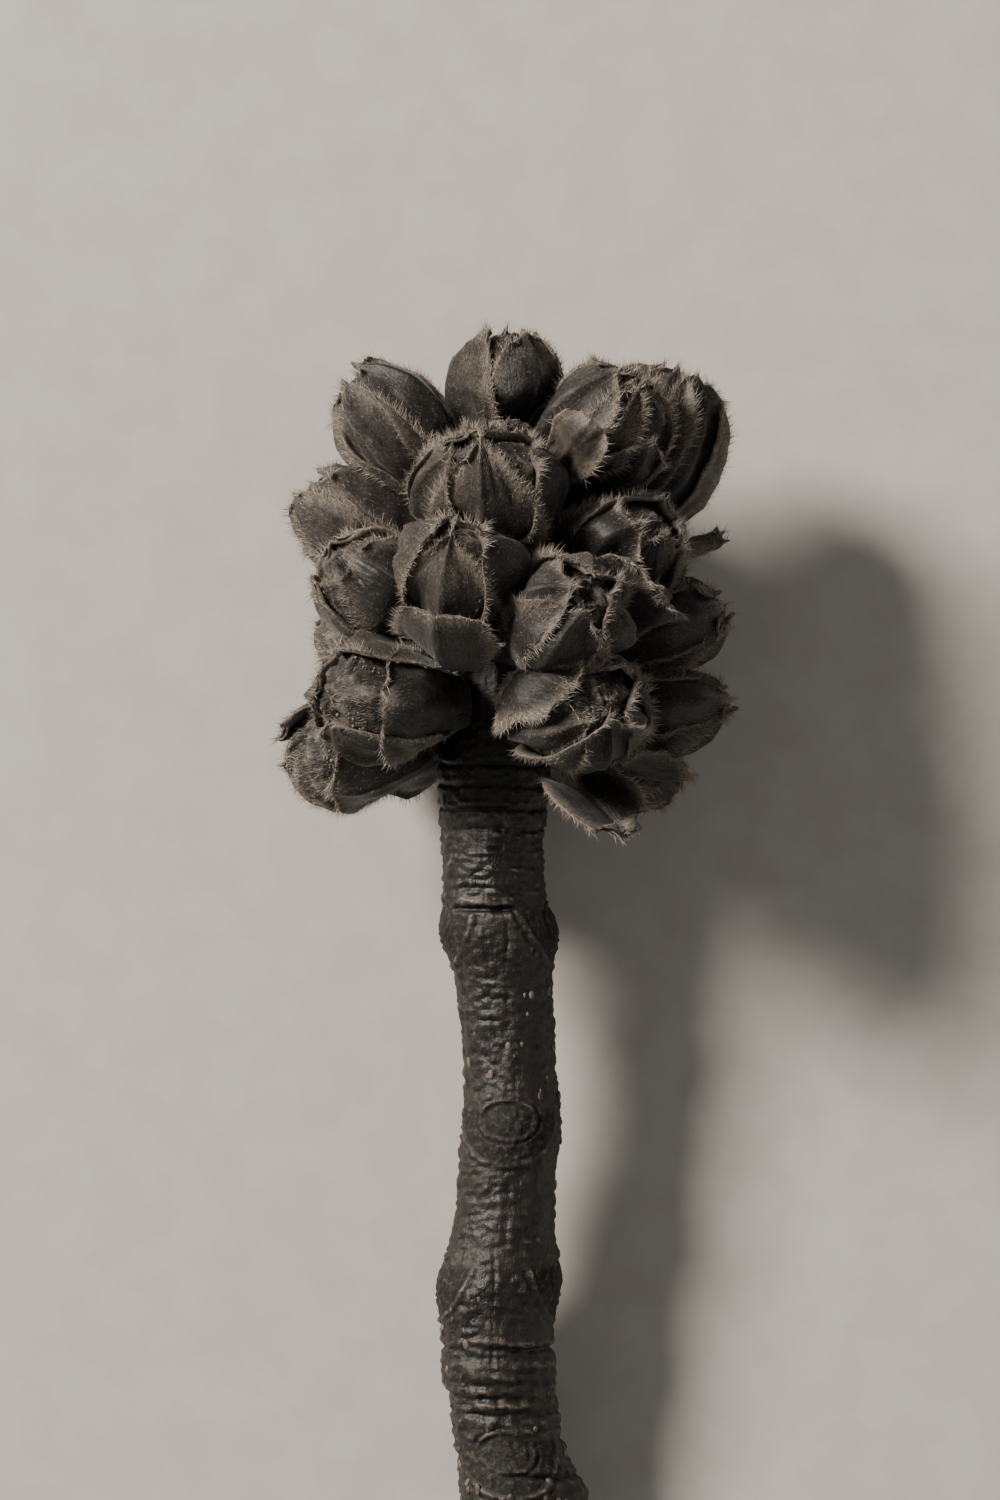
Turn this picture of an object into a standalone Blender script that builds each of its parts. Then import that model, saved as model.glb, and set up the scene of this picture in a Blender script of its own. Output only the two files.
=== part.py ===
"""The end of a cut maple twig in winter, with its crowded cluster of flower buds, lying on a flat surface.

The twig is modelled along its own axis: +X to the right, +Y along the twig towards the cluster, +Z outwards
from its upper side, with Y = 0 at the foot of the cluster. At the end everything hangs on one empty, which
tips the twig until its cut end and the underside of the cluster both touch Z = 0.
Shapes are worked out in millimetres and turned into metres as each mesh is written.
"""

import math
from collections import namedtuple

import bmesh
import bpy
from mathutils import Matrix, Vector

MM = 0.001

# Driving dimensions, in millimetres.
CUT_END = -30.0  # along the twig, from the foot of the cluster
SPUR_TOP = 8.4  # where the twig ends inside the cluster
SPUR_SHOULDER = 7.6  # where it starts to round over to that end
GAP = 0.3  # clear space between neighbours, so that no two solids touch
SCALE_THICKNESS = 0.3  # a loose bud scale, measured through
NEAR = 1.35  # buds press each other up to this many times the sum of their radii, middle to middle
LAYER = 0.2  # how far each pair of scales stands out from the pair it wraps
KEEL = 0.045  # how much the backs of the four rows of scales square a bud off, as a share of its girth
CUT_SLANT = 0.22  # lean of the pruning cut, as a slope

# The dead stub of a side twig, on the right near the cut end.
STUB_ALONG = -24.4
STUB_FACING = 80.0  # degrees round the twig, 0 up and 90 right
STUB_LENGTH = 0.85
STUB_RADIUS = 0.55

TWIG_SIDES = 28
TWIG_ROW_STEP = 0.62
BUD_SIDES = 16
BUD_ROWS = (0.0, 0.1, 0.24, 0.4, 0.56, 0.69, 0.8, 0.89, 0.96)
PRESS_ROUNDS = 6
SCALE_COLUMNS = 6
SCALE_ROWS = 7

# The twig's girth and how far its centre wanders sideways, at stations along it.
Station = namedtuple("Station", "along radius drift")
STATIONS = (
    Station(CUT_END, 1.88, 0.6),
    Station(-26.0, 1.9, 0.6),
    Station(-24.0, 1.88, 0.42),
    Station(-22.0, 1.84, 0.12),
    Station(-20.0, 1.96, -0.08),
    Station(-18.2, 1.92, -0.06),
    Station(-16.0, 1.74, 0.07),
    Station(-14.0, 1.67, 0.2),
    Station(-12.0, 1.62, 0.33),
    Station(-9.8, 1.58, 0.24),
    Station(-7.8, 1.66, 0.12),
    Station(-5.6, 1.76, -0.03),
    Station(-4.4, 1.72, -0.17),
    Station(-3.0, 1.74, -0.2),
    Station(-1.4, 1.9, -0.18),
    Station(0.0, 1.95, -0.16),
    Station(2.0, 1.82, 0.0),
    Station(5.0, 1.5, 0.0),
    Station(SPUR_SHOULDER, 1.25, 0.0),
    Station(SPUR_TOP, 0.7, 0.0),
)

# A swelling where a pair of opposite leaves stood. Each pair is turned a quarter from the next.
Swelling = namedtuple("Swelling", "along facing bulge half_length")
SWELLINGS = (
    Swelling(-24.2, 0.0, 0.36, 0.9),
    Swelling(-17.3, 90.0, 0.42, 0.85),
    Swelling(-12.3, 0.0, 0.34, 0.75),
    Swelling(-5.7, 90.0, 0.48, 0.7),
)

# One bud: the way it faces round the twig (0 up, 90 right), the height of its seat above the foot of the
# cluster, how steeply it rises, how far its tip is bent up towards the twig's end, how far the tip reaches
# from the twig's centre, its greatest width, its flatness, and the turn of its outer pair of scales.
Bud = namedtuple("Bud", "name around height rise lift reach width flat roll")
BUDS = (
    Bud("bud_top_centre", 20, 7.9, 80, 0.0, 6.6, 4.1, 1.0, 20),
    Bud("bud_top_left", -84, 7.5, 44, 0.4, 7.1, 4.2, 1.0, 60),
    Bud("bud_top_right_front", 58, 7.1, 42, 0.6, 7.6, 4.9, 1.0, 30),
    Bud("bud_top_right_back", 99, 6.8, 26, 3.3, 6.9, 5.6, 1.0, 0),
    Bud("bud_left_upper", -95, 5.2, 27, 0.6, 7.5, 4.2, 0.95, 80),
    Bud("bud_left_front", -58, 3.6, 20, 1.0, 7.0, 4.4, 0.95, 70),
    Bud("bud_left_back", -112, 3.6, 6, 0.2, 6.7, 4.0, 0.95, 90),
    Bud("bud_centre_upper", -6, 5.6, 36, 0.8, 7.0, 5.3, 0.9, 10),
    Bud("bud_centre_front", -13, 3.7, 22, 1.0, 7.5, 5.2, 1.05, 5),
    Bud("bud_centre_right", 24, 3.5, 12, 0.5, 7.6, 5.1, 1.0, 50),
    Bud("bud_right_front", 55, 4.0, 27, 0.6, 7.5, 4.9, 1.0, 75),
    Bud("bud_right_middle", 85, 2.9, 13, 0.6, 7.9, 4.0, 0.85, 90),
    Bud("bud_right_low", 85, 1.0, 4, 0.5, 7.9, 4.1, 0.9, 85),
    Bud("bud_right_lowest", 116, 0.9, -12, 0.2, 7.0, 3.9, 0.9, 90),
    Bud("bud_low_left_front", -51, 2.0, -1, 0.2, 7.5, 4.9, 0.9, 85),
    Bud("bud_low_left", -83, 1.3, -12, 0.3, 7.6, 4.6, 0.9, 70),
    Bud("bud_low_right_front", 29, 1.9, -5, 0.3, 7.4, 5.2, 0.9, 60),
    Bud("bud_back_top", 178, 6.4, 40, 0.6, 6.9, 4.6, 0.95, 15),
    Bud("bud_back_upper_left", -137, 5.8, 28, 0.6, 7.2, 4.6, 0.95, 40),
    Bud("bud_back_upper_right", 140, 5.6, 26, 0.6, 7.1, 4.6, 0.95, 70),
    Bud("bud_back_middle_left", -148, 3.7, 10, 0.4, 7.2, 4.5, 0.95, 0),
    Bud("bud_back_middle_right", 148, 3.7, 10, 0.4, 7.2, 4.5, 0.95, 0),
    Bud("bud_back_middle", 180, 4.6, 14, 0.4, 6.3, 4.3, 0.95, 20),
    Bud("bud_right_back", 112, 4.4, 12, 0.5, 7.0, 4.3, 0.95, 60),
    Bud("bud_back_low_left", -132, 1.4, -8, 0.2, 6.3, 4.6, 0.9, 80),
    Bud("bud_back_low", -176, 1.5, -6, 0.2, 5.6, 4.5, 0.9, 10),
    Bud("bud_back_low_right", 142, 1.3, -7, 0.2, 6.0, 4.5, 0.9, 60),
)

# A scale that stands away from its bud: the bud, the side of the bud it grows on (turn about the bud's axis,
# 0 towards the twig's end), half its width as a turn, where it starts and ends along the bud (0 seat, 1 tip),
# how wide its end still is (1 not narrowed at all), how much of the bud's greatest width it keeps where the
# bud draws in to its tip, and how far its tip flares out.
LooseScale = namedtuple("LooseScale", "name bud side half_width start end blunt hold flare")
LOOSE_SCALES = (
    LooseScale("scale_hanging_low_right", "bud_low_right_front", 201, 30, 0.1, 0.66, 0.0, 1.0, 2.2),
    LooseScale("scale_below_centre_front", "bud_centre_front", 170, 42, 0.36, 0.86, 0.75, 0.0, 0.0),
    LooseScale("scale_below_right_front", "bud_right_front", 150, 52, 0.3, 0.9, 0.6, 0.0, 0.1),
    LooseScale("scale_front_of_top", "bud_top_centre", 180, 48, 0.06, 0.42, 0.1, 0.0, 0.3),
    LooseScale("scale_torn_top_right", "bud_top_right_front", 114, 33, 0.25, 0.78, 0.7, 0.8, 0.2),
    LooseScale("scale_stray_right", "bud_right_back", 52, 22, 0.45, 1.25, 0.4, 0.5, 0.5),
    LooseScale("scale_below_right_low", "bud_right_low", 165, 50, 0.3, 0.85, 0.5, 0.0, 0.05),
)

# Scales of a closed bud, outermost pair first: how far up the bud the pair reaches, and half the turn that
# one scale covers at its widest. Each pair stands a quarter turn from the last.
Pair = namedtuple("Pair", "reach half_turn")
PAIRS = (Pair(0.66, 84.0), Pair(0.82, 80.0), Pair(0.94, 66.0))

# The outline of every bud, as shares of its length and of its greatest girth.
BELLY = 0.56  # where the bud is thickest
SEAT_GIRTH = 0.46
TIP_BLUNTNESS = 2.6  # 2 is a round tip, more is blunter

# Colour, roughness and metallic value of each finish.
FINISHES = {
    "bark": ((0.060, 0.048, 0.040, 1.0), 0.45, 0.0),
    "bud_scale": ((0.050, 0.040, 0.034, 1.0), 0.65, 0.0),
    "dry_scale": ((0.110, 0.092, 0.076, 1.0), 0.7, 0.0),
}


def clear_scene():
    for obj in list(bpy.data.objects):
        bpy.data.objects.remove(obj, do_unlink=True)


def finish(piece, name):
    """The piece's own material, in one of the finishes."""
    colour, roughness, metallic = FINISHES[name]
    material = bpy.data.materials.new(f"{name}_of_{piece}")
    material.use_nodes = True
    shader = material.node_tree.nodes["Principled BSDF"]
    shader.inputs["Base Color"].default_value = colour
    shader.inputs["Roughness"].default_value = roughness
    shader.inputs["Metallic"].default_value = metallic
    return material


def add_solid(name, points, faces, finish_name, parent):
    """One closed body from points in millimetres, shaded smooth apart from its sharp edges."""
    mesh = bpy.data.meshes.new(name)
    mesh.from_pydata([p * MM for p in points], [], faces)
    shape = bmesh.new()
    shape.from_mesh(mesh)
    bmesh.ops.recalc_face_normals(shape, faces=shape.faces)
    shape.to_mesh(mesh)
    shape.free()
    mesh.shade_smooth()
    mesh.set_sharp_from_angle(angle=math.radians(38))
    mesh.materials.append(finish(name, finish_name))
    obj = bpy.data.objects.new(name, mesh)
    obj.parent = parent
    bpy.context.scene.collection.objects.link(obj)
    return obj


def skin(rows, sides):
    """Faces of a tube of point rows, with a pole point before the first row and one after the last."""
    first, last = 0, rows * sides + 1
    faces = []
    for i in range(sides):
        j = (i + 1) % sides
        faces.append((first, 1 + j, 1 + i))
        for row in range(rows - 1):
            low, high = 1 + row * sides, 1 + (row + 1) * sides
            faces.append((low + i, low + j, high + j, high + i))
        top = 1 + (rows - 1) * sides
        faces.append((top + i, top + j, last))
    return faces


def ease(x):
    x = min(max(x, 0.0), 1.0)
    return x * x * (3.0 - 2.0 * x)


def turn_between(a, b):
    """The angle between two directions given in degrees, 0 to 180."""
    return abs((a - b + 180.0) % 360.0 - 180.0)


# ---------------------------------------------------------------- the twig


def twig_at(along):
    """(radius, sideways drift) of the twig at a distance along it, eased between the stations."""
    along = min(max(along, STATIONS[0].along), STATIONS[-1].along)
    for low, high in zip(STATIONS, STATIONS[1:]):
        if along <= high.along:
            share = ease((along - low.along) / (high.along - low.along))
            return (
                low.radius + share * (high.radius - low.radius),
                low.drift + share * (high.drift - low.drift),
            )
    return STATIONS[-1].radius, STATIONS[-1].drift


def swelling_at(along, facing):
    """How far the old leaf seats and the stub raise the bark. facing is in degrees, 0 up and 90 right."""
    raised = 0.0
    for node in SWELLINGS:
        from_seat = min(turn_between(facing, node.facing), turn_between(facing, node.facing + 180.0))
        lobe = 0.3 + 0.7 * math.cos(math.radians(from_seat)) ** 2
        raised += node.bulge * lobe * math.exp(-(((along - node.along) / node.half_length) ** 2))
    beside = math.radians(turn_between(facing, STUB_FACING)) * twig_at(along)[0]
    from_stub = math.hypot(beside, along - STUB_ALONG)
    return raised + STUB_LENGTH * math.exp(-((from_stub / STUB_RADIUS) ** 2))


def build_twig(parent):
    rows = round((SPUR_TOP - CUT_END) / TWIG_ROW_STEP)
    points = []
    for row in range(rows + 1):
        along = CUT_END + (SPUR_TOP - CUT_END) * row / rows
        radius, drift = twig_at(along)
        lean = CUT_SLANT * max(0.0, 1.0 - row / 3.0)
        for side in range(TWIG_SIDES):
            facing = 360.0 * side / TWIG_SIDES
            bark = radius + (0.0 if row == 0 else swelling_at(along, facing))
            across = bark * math.sin(math.radians(facing))
            out = bark * math.cos(math.radians(facing))
            points.append(Vector((drift + across, along + lean * out, out)))
    cut_centre = Vector((twig_at(CUT_END)[1], CUT_END, 0.0))
    tip = Vector((0.0, SPUR_TOP + 0.35, 0.0))
    points = [cut_centre, *points, tip]
    return add_solid("twig", points, skin(rows + 1, TWIG_SIDES), "bark", parent)


def clear_of_twig(point, extra):
    """The point, moved straight out where it would come nearer to the twig's bark than the gap and extra."""
    level = min(point.y, SPUR_SHOULDER)
    radius, drift = twig_at(level)
    axis = Vector((drift, level, 0.0))
    wanted = radius + swelling_at(level, math.degrees(math.atan2(point.x - drift, point.z))) + extra
    away = point - axis
    if away.length >= wanted:
        return point
    if away.length < 1e-6:
        away = Vector((0.0, 1.0, 0.0))
    return axis + away.normalized() * wanted


# ---------------------------------------------------------------- the buds


class BudForm:
    """Where a bud is and how thick it is: its axis is a curve from the seat on the twig to the tip."""

    def __init__(self, bud):
        self.bud = bud
        facing, rise = math.radians(bud.around), math.radians(bud.rise)
        level = Vector((math.sin(facing), 0.0, math.cos(facing)))
        self.heading = level * math.cos(rise) + Vector((0.0, math.sin(rise), 0.0))
        foot = Vector((0.0, bud.height, 0.0))
        self.seat = foot + self.heading * (twig_at(bud.height)[0] + GAP)
        self.tip = foot + self.heading * bud.reach + Vector((0.0, bud.lift, 0.0))
        self.bend = self.seat + self.heading * (self.tip - self.seat).length * 0.55
        self.radius = bud.width / 2.0
        self.middle = self.at(BELLY)

    def at(self, t):
        """A point on the axis, 0 at the seat and 1 at the tip, and on past it in a straight line."""
        if t > 1.0:
            return self.tip + self.along(1.0) * (self.tip - self.seat).length * (t - 1.0)
        return self.seat * (1 - t) ** 2 + self.bend * 2 * t * (1 - t) + self.tip * t**2

    def along(self, t):
        t = min(t, 1.0)
        return ((self.bend - self.seat) * (1 - t) + (self.tip - self.bend) * t).normalized()

    def cross_section(self, t):
        """Two directions square to the axis: one towards the twig's end, one sideways."""
        forward = self.along(t)
        aside = forward.cross(Vector((0.0, 1.0, 0.0)))
        if aside.length < 0.3:
            aside = forward.cross(Vector((0.0, 0.0, -1.0)))
        aside.normalize()
        return aside.cross(forward), aside

    def girth(self, t):
        """Half width along the bud: a narrow seat, a full belly and a blunt tip."""
        if t < BELLY:
            return self.radius * (SEAT_GIRTH + (1.0 - SEAT_GIRTH) * ease(t / BELLY))
        past = (min(t, 1.0) - BELLY) / (1.0 - BELLY)
        return self.radius * math.sqrt(1.0 - past**TIP_BLUNTNESS)

    def surface(self, t, turn, out=0.0):
        """A point on the bud's skin. turn is in degrees about the axis, 0 towards the twig's end."""
        up, aside = self.cross_section(t)
        angle = math.radians(turn)
        flat = self.bud.flat
        keel = KEEL * math.cos(math.radians(4.0 * (turn - self.bud.roll)))
        thick = self.girth(t) * (1.0 + keel) + out
        return self.at(t) + up * (math.cos(angle) * thick * flat) + aside * (math.sin(angle) * thick)

    def layers(self, t, turn):
        """How many pairs of scales cover this place on the bud."""
        count = 0.0
        for index, pair in enumerate(PAIRS):
            facing = self.bud.roll + 90.0 * index
            off = min(turn_between(turn, facing), turn_between(turn, facing + 180.0))
            if t < pair.reach and off < pair.half_turn * (1.0 - (t / pair.reach) ** 2.2):
                count += 1.0
        return count


def press_planes(forms):
    """For each bud, the planes where its neighbours press it: (a point, the way to that neighbour)."""
    planes = {form.bud.name: [] for form in forms}
    for form in forms:
        for other in forms:
            apart = other.middle - form.middle
            if other is form or apart.length > NEAR * (form.radius + other.radius):
                continue
            share = form.radius / (form.radius + other.radius)
            planes[form.bud.name].append((form.middle + apart * share, apart.normalized()))
    return planes


def pressed(point, planes, depth):
    """The point, moved back behind each plane that it has passed, less half the gap and depth."""
    for _ in range(PRESS_ROUNDS):
        for through, normal in planes:
            past = (point - through).dot(normal) + GAP / 2.0 + depth
            if past > 0.0:
                point = point - normal * past
    return point


def under_scale(loose, t, turn):
    """Whether a loose scale covers this place on its bud, with a column of the bud's own grid to spare."""
    spare = 360.0 / BUD_SIDES
    beside = turn_between(turn, loose.side) < loose.half_width + spare
    return beside and loose.start - 0.16 < t < loose.end + 0.12


def build_bud(form, planes, covers, parent):
    """One closed bud. Where one of its loose scales covers it, it leaves room for that scale."""
    points = []
    for t in BUD_ROWS:
        for side in range(BUD_SIDES):
            turn = form.bud.roll + 360.0 * side / BUD_SIDES
            covered = any(under_scale(loose, t, turn) for loose in covers)
            out = LAYER * (form.layers(t, turn) - 2.0) - (GAP if covered else 0.0)
            depth = GAP + SCALE_THICKNESS if covered else 0.0
            points.append(pressed(form.surface(t, turn, out), planes, depth))
    ends = [pressed(form.at(t), planes, 0.0) for t in (0.0, 1.0)]
    points = [clear_of_twig(point, GAP) for point in (ends[0], *points, ends[1])]
    return add_solid(form.bud.name, points, skin(len(BUD_ROWS), BUD_SIDES), "bud_scale", parent)


# ---------------------------------------------------------------- loose scales


def build_loose_scale(loose, form, planes, parent):
    """A cupped scale outside its bud, made as two skins a scale's thickness apart with their rims joined."""
    inner, outer = [], []
    for row in range(SCALE_ROWS):
        share = row / (SCALE_ROWS - 1)
        t = loose.start + share * (loose.end - loose.start)
        narrowed = max(0.0, 1.0 - share**3.0) ** 0.5
        outline = (0.6 + 0.4 * ease(share / 0.4)) * (loose.blunt + (1.0 - loose.blunt) * narrowed)
        kept = max(form.girth(t), loose.hold * form.radius)
        lift = kept - form.girth(t) + LAYER + loose.flare * share**2
        for column in range(SCALE_COLUMNS + 1):
            turn = loose.side + loose.half_width * outline * (2.0 * column / SCALE_COLUMNS - 1.0)
            near = form.surface(t, turn, lift)
            far = form.surface(t, turn, lift + SCALE_THICKNESS)
            inner.append(clear_of_twig(pressed(near, planes, SCALE_THICKNESS), GAP))
            outer.append(clear_of_twig(pressed(far, planes, 0.0), GAP + SCALE_THICKNESS))
    width = SCALE_COLUMNS + 1
    count = len(inner)
    faces = []
    for row in range(SCALE_ROWS - 1):
        for column in range(SCALE_COLUMNS):
            a = row * width + column
            faces.append((a, a + 1, a + width + 1, a + width))
            faces.append((count + a, count + a + width, count + a + width + 1, count + a + 1))
    rim = [column for column in range(width)]
    rim += [row * width + width - 1 for row in range(1, SCALE_ROWS)]
    rim += [count - 1 - column for column in range(1, width)]
    rim += [row * width for row in range(SCALE_ROWS - 2, 0, -1)]
    for a, b in zip(rim, rim[1:] + rim[:1]):
        faces.append((b, a, count + a, count + b))
    finish_name = "dry_scale" if "torn" in loose.name or "stray" in loose.name else "bud_scale"
    return add_solid(loose.name, inner + outer, faces, finish_name, parent)


# ---------------------------------------------------------------- how it lies


def lay_down(carrier, objects):
    """Tips the carrier until the cut end and the cluster both touch Z = 0, then centres it on the origin."""
    places = [vertex.co for obj in objects for vertex in obj.data.vertices]
    cut = [p for p in places if p.y < 0.8 * CUT_END * MM]
    cluster = [p for p in places if p.y > 0.0]
    low, high = 0.0, math.radians(30)
    for _ in range(50):
        tip = (low + high) / 2.0
        drop = [min(p.y * math.sin(tip) + p.z * math.cos(tip) for p in group) for group in (cut, cluster)]
        if drop[0] > drop[1]:
            low = tip
        else:
            high = tip
    turn = Matrix.Rotation(tip, 4, "X")
    laid = [turn @ p for p in places]
    corner_low = [min(p[k] for p in laid) for k in range(3)]
    corner_high = [max(p[k] for p in laid) for k in range(3)]
    carrier.rotation_euler = (tip, 0.0, 0.0)
    carrier.location = (
        -(corner_low[0] + corner_high[0]) / 2.0,
        -(corner_low[1] + corner_high[1]) / 2.0,
        -corner_low[2],
    )


def main():
    clear_scene()
    carrier = bpy.data.objects.new("twig_axis", None)
    bpy.context.scene.collection.objects.link(carrier)
    forms = {bud.name: BudForm(bud) for bud in BUDS}
    planes = press_planes(list(forms.values()))
    made = [build_twig(carrier)]
    for name, form in forms.items():
        covers = [loose for loose in LOOSE_SCALES if loose.bud == name]
        made.append(build_bud(form, planes[name], covers, carrier))
    for loose in LOOSE_SCALES:
        made.append(build_loose_scale(loose, forms[loose.bud], planes[loose.bud], carrier))
    lay_down(carrier, made)


main()
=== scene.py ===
# %% [markdown]
# # The end of a maple twig with its cluster of winter flower buds
# A cut twig, 44 mm long, lies on a table. Its end carries a crowd of hairy flower buds. The solids of the
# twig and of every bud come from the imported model, which is loaded first and is never moved. This script
# wraps each of them in a finely modelled skin: bark with its scars and wrinkles, bud scales that overlap
# like roof tiles, and the woolly hairs along their edges.

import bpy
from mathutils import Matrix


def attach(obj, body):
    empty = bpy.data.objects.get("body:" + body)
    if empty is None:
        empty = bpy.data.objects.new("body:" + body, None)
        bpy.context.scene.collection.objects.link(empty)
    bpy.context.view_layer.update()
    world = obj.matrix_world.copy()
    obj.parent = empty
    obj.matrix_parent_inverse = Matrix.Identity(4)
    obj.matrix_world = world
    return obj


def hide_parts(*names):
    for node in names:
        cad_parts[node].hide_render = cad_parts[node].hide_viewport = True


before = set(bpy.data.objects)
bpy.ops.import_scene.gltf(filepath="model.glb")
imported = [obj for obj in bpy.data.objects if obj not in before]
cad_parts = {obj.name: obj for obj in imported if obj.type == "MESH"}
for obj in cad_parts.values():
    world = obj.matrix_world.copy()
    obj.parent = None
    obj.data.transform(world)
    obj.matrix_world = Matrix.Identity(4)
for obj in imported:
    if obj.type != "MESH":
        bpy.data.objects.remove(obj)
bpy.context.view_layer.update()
print("solids in the frame:", len(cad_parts))

# %% [markdown]
# Shapes are worked out in millimetres with numpy, many points at a time, and are turned into metres when a
# mesh is written. All corners of a CAD node are doubled, one set for each triangle, so a copy is merged
# before anything is measured on it.

# %% Tools for measuring the solids
import itertools
import math
from collections import namedtuple

import bmesh
import bpy
import numpy as np
from mathutils import Matrix, Vector
from mathutils.bvhtree import BVHTree

MM = 0.001
MERGE_DISTANCE = 1e-7  # metres


def merged(node):
    """A copy of a node's mesh with its doubled corners joined, in millimetres."""
    shape = bmesh.new()
    shape.from_mesh(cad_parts[node].data)
    bmesh.ops.remove_doubles(shape, verts=shape.verts, dist=MERGE_DISTANCE)
    bmesh.ops.scale(shape, vec=(1 / MM, 1 / MM, 1 / MM), verts=shape.verts)
    shape.normal_update()
    return shape


def ray_lengths(tree, starts, ways, start_out=0.0):
    """How far the surface is from each start, along its way.

    start_out begins that far outside and looks back in.
    """
    lengths = np.full(starts.shape[:-1], np.nan)
    for index in np.ndindex(lengths.shape):
        way = Vector(ways[index])
        begin = Vector(starts[index]) + way * start_out
        hit = tree.ray_cast(begin, -way if start_out else way)
        if hit[0] is not None:
            lengths[index] = (hit[0] - Vector(starts[index])).dot(way)
    return lengths


def unit(vectors):
    length = np.linalg.norm(vectors, axis=-1, keepdims=True)
    return vectors / np.maximum(length, 1e-9)


def ease(x):
    x = np.clip(x, 0.0, 1.0)
    return x * x * (3.0 - 2.0 * x)


def bump(x, width):
    """1 where x is 0, falling smoothly to nothing a few widths away."""
    return np.exp(-((x / width) ** 2))


# %% [markdown]
# A grown surface is never even, so every skin below is roughened with noise. This one is a lattice of
# random numbers with smooth steps between them. Its lumps have a size in millimetres, and the same place
# always gets the same value.

# %% Noise for grown surfaces
def lattice_value(cell):
    """A fixed random number, -1 to 1, for each cell of a lattice."""
    mixed = cell[..., 0] * 73856093 ^ cell[..., 1] * 19349663 ^ cell[..., 2] * 83492791
    mixed = (mixed ^ (mixed >> 13)) * 1274126177 & 0x7FFFFFFF
    return ((mixed ^ (mixed >> 16)) & 0xFFFF) / 32767.5 - 1.0


def noise(points, size, seed=0):
    """Smooth noise, -1 to 1, with lumps of the given size."""
    points = np.asarray(points) / size + 31.7 * (seed + 1)
    cell = np.floor(points).astype(np.int64)
    within = ease(points - cell)
    total = np.zeros(points.shape[:-1])
    for corner in itertools.product((0, 1), repeat=3):
        share = np.prod(np.where(corner, within, 1.0 - within), axis=-1)
        total += share * lattice_value(cell + np.array(corner))
    return total


def rough(points, size, seed=0):
    """Noise in three finenesses, as on bark and dried skin."""
    return sum(noise(points, size / 2**k, seed + k) / 2**k for k in range(3)) / 1.75


# %% [markdown]
# The twig's own directions are found on its solid: the middle of its slanted cut, and the one point where
# it ends inside the cluster. Below, "along" runs up the twig and is 0 at the foot of the cluster, "right"
# is sideways and "out" points away from the table, towards whoever looks down on it.

# %% The twig's directions
BELOW_CLUSTER = 30.0  # from the cut to the foot of the cluster

twig_shape = merged("twig")
lowest = min(v.co.y for v in twig_shape.verts)
cut_faces = [f for f in twig_shape.faces if f.normal.y < -0.85 and f.calc_center_median().y < lowest + 1.5]
cut_corners = {v for f in cut_faces for v in f.verts}
cut_centre = sum((v.co for v in cut_corners), Vector()) / len(cut_corners)
cut_normal = max(cut_faces, key=lambda f: f.calc_area()).normal.copy()
spur_top = max((v.co for v in twig_shape.verts), key=lambda co: co.y).copy()

ALONG = np.array(Vector((0.0, spur_top.y - cut_centre.y, spur_top.z - cut_centre.z)).normalized())
RIGHT = np.array((1.0, 0.0, 0.0))
OUT = np.cross(RIGHT, ALONG)
FOOT = np.array(cut_centre) + BELOW_CLUSTER * ALONG
FOOT[0] = spur_top.x
CUT_SLOPE = np.dot(cut_normal, OUT) / -np.dot(cut_normal, ALONG)
SPUR_END = np.dot(np.array(spur_top) - FOOT, ALONG)


def place(right, along, out):
    """Points given in the twig's own directions, in the frame."""
    right, along, out = np.broadcast_arrays(right, along, out)
    return FOOT + right[..., None] * RIGHT + along[..., None] * ALONG + out[..., None] * OUT


print("twig tilt", round(math.degrees(math.asin(ALONG[2])), 2), "degrees, cut slope", round(CUT_SLOPE, 3))
print("the spur ends", round(SPUR_END, 2), "mm above the foot of the cluster")

# %% [markdown]
# Every mesh here is a sheet of rows and columns, or several of them. One function writes them all. It also
# stores numbers on the points, such as how woolly a place is or how far it stands above its surroundings,
# which the materials and the hair tree read later.

# %% Writing a mesh
Sheet = namedtuple("Sheet", "points quads triangles values")


def grid_quads(rows, columns, closed=False, first=0):
    """Faces between the points of a grid. closed joins the last column to the first."""
    row, column = np.meshgrid(np.arange(rows - 1), np.arange(columns - (not closed)), indexing="ij")
    a = row * columns + column
    b = row * columns + (column + 1) % columns
    return first + np.stack([a, b, b + columns, a + columns], axis=-1).reshape(-1, 4)


def joined(sheets):
    """Several closed sheets as one."""
    points, quads, triangles, start = [], [], [], 0
    for sheet in sheets:
        points.append(sheet.points)
        quads.append(start + sheet.quads)
        triangles.append(start + sheet.triangles)
        start += len(sheet.points)
    values = {
        name: np.concatenate([sheet.values[name] for sheet in sheets]) for name in sheets[0].values
    }
    return Sheet(*(np.concatenate(part) for part in (points, quads, triangles)), values)


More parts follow.
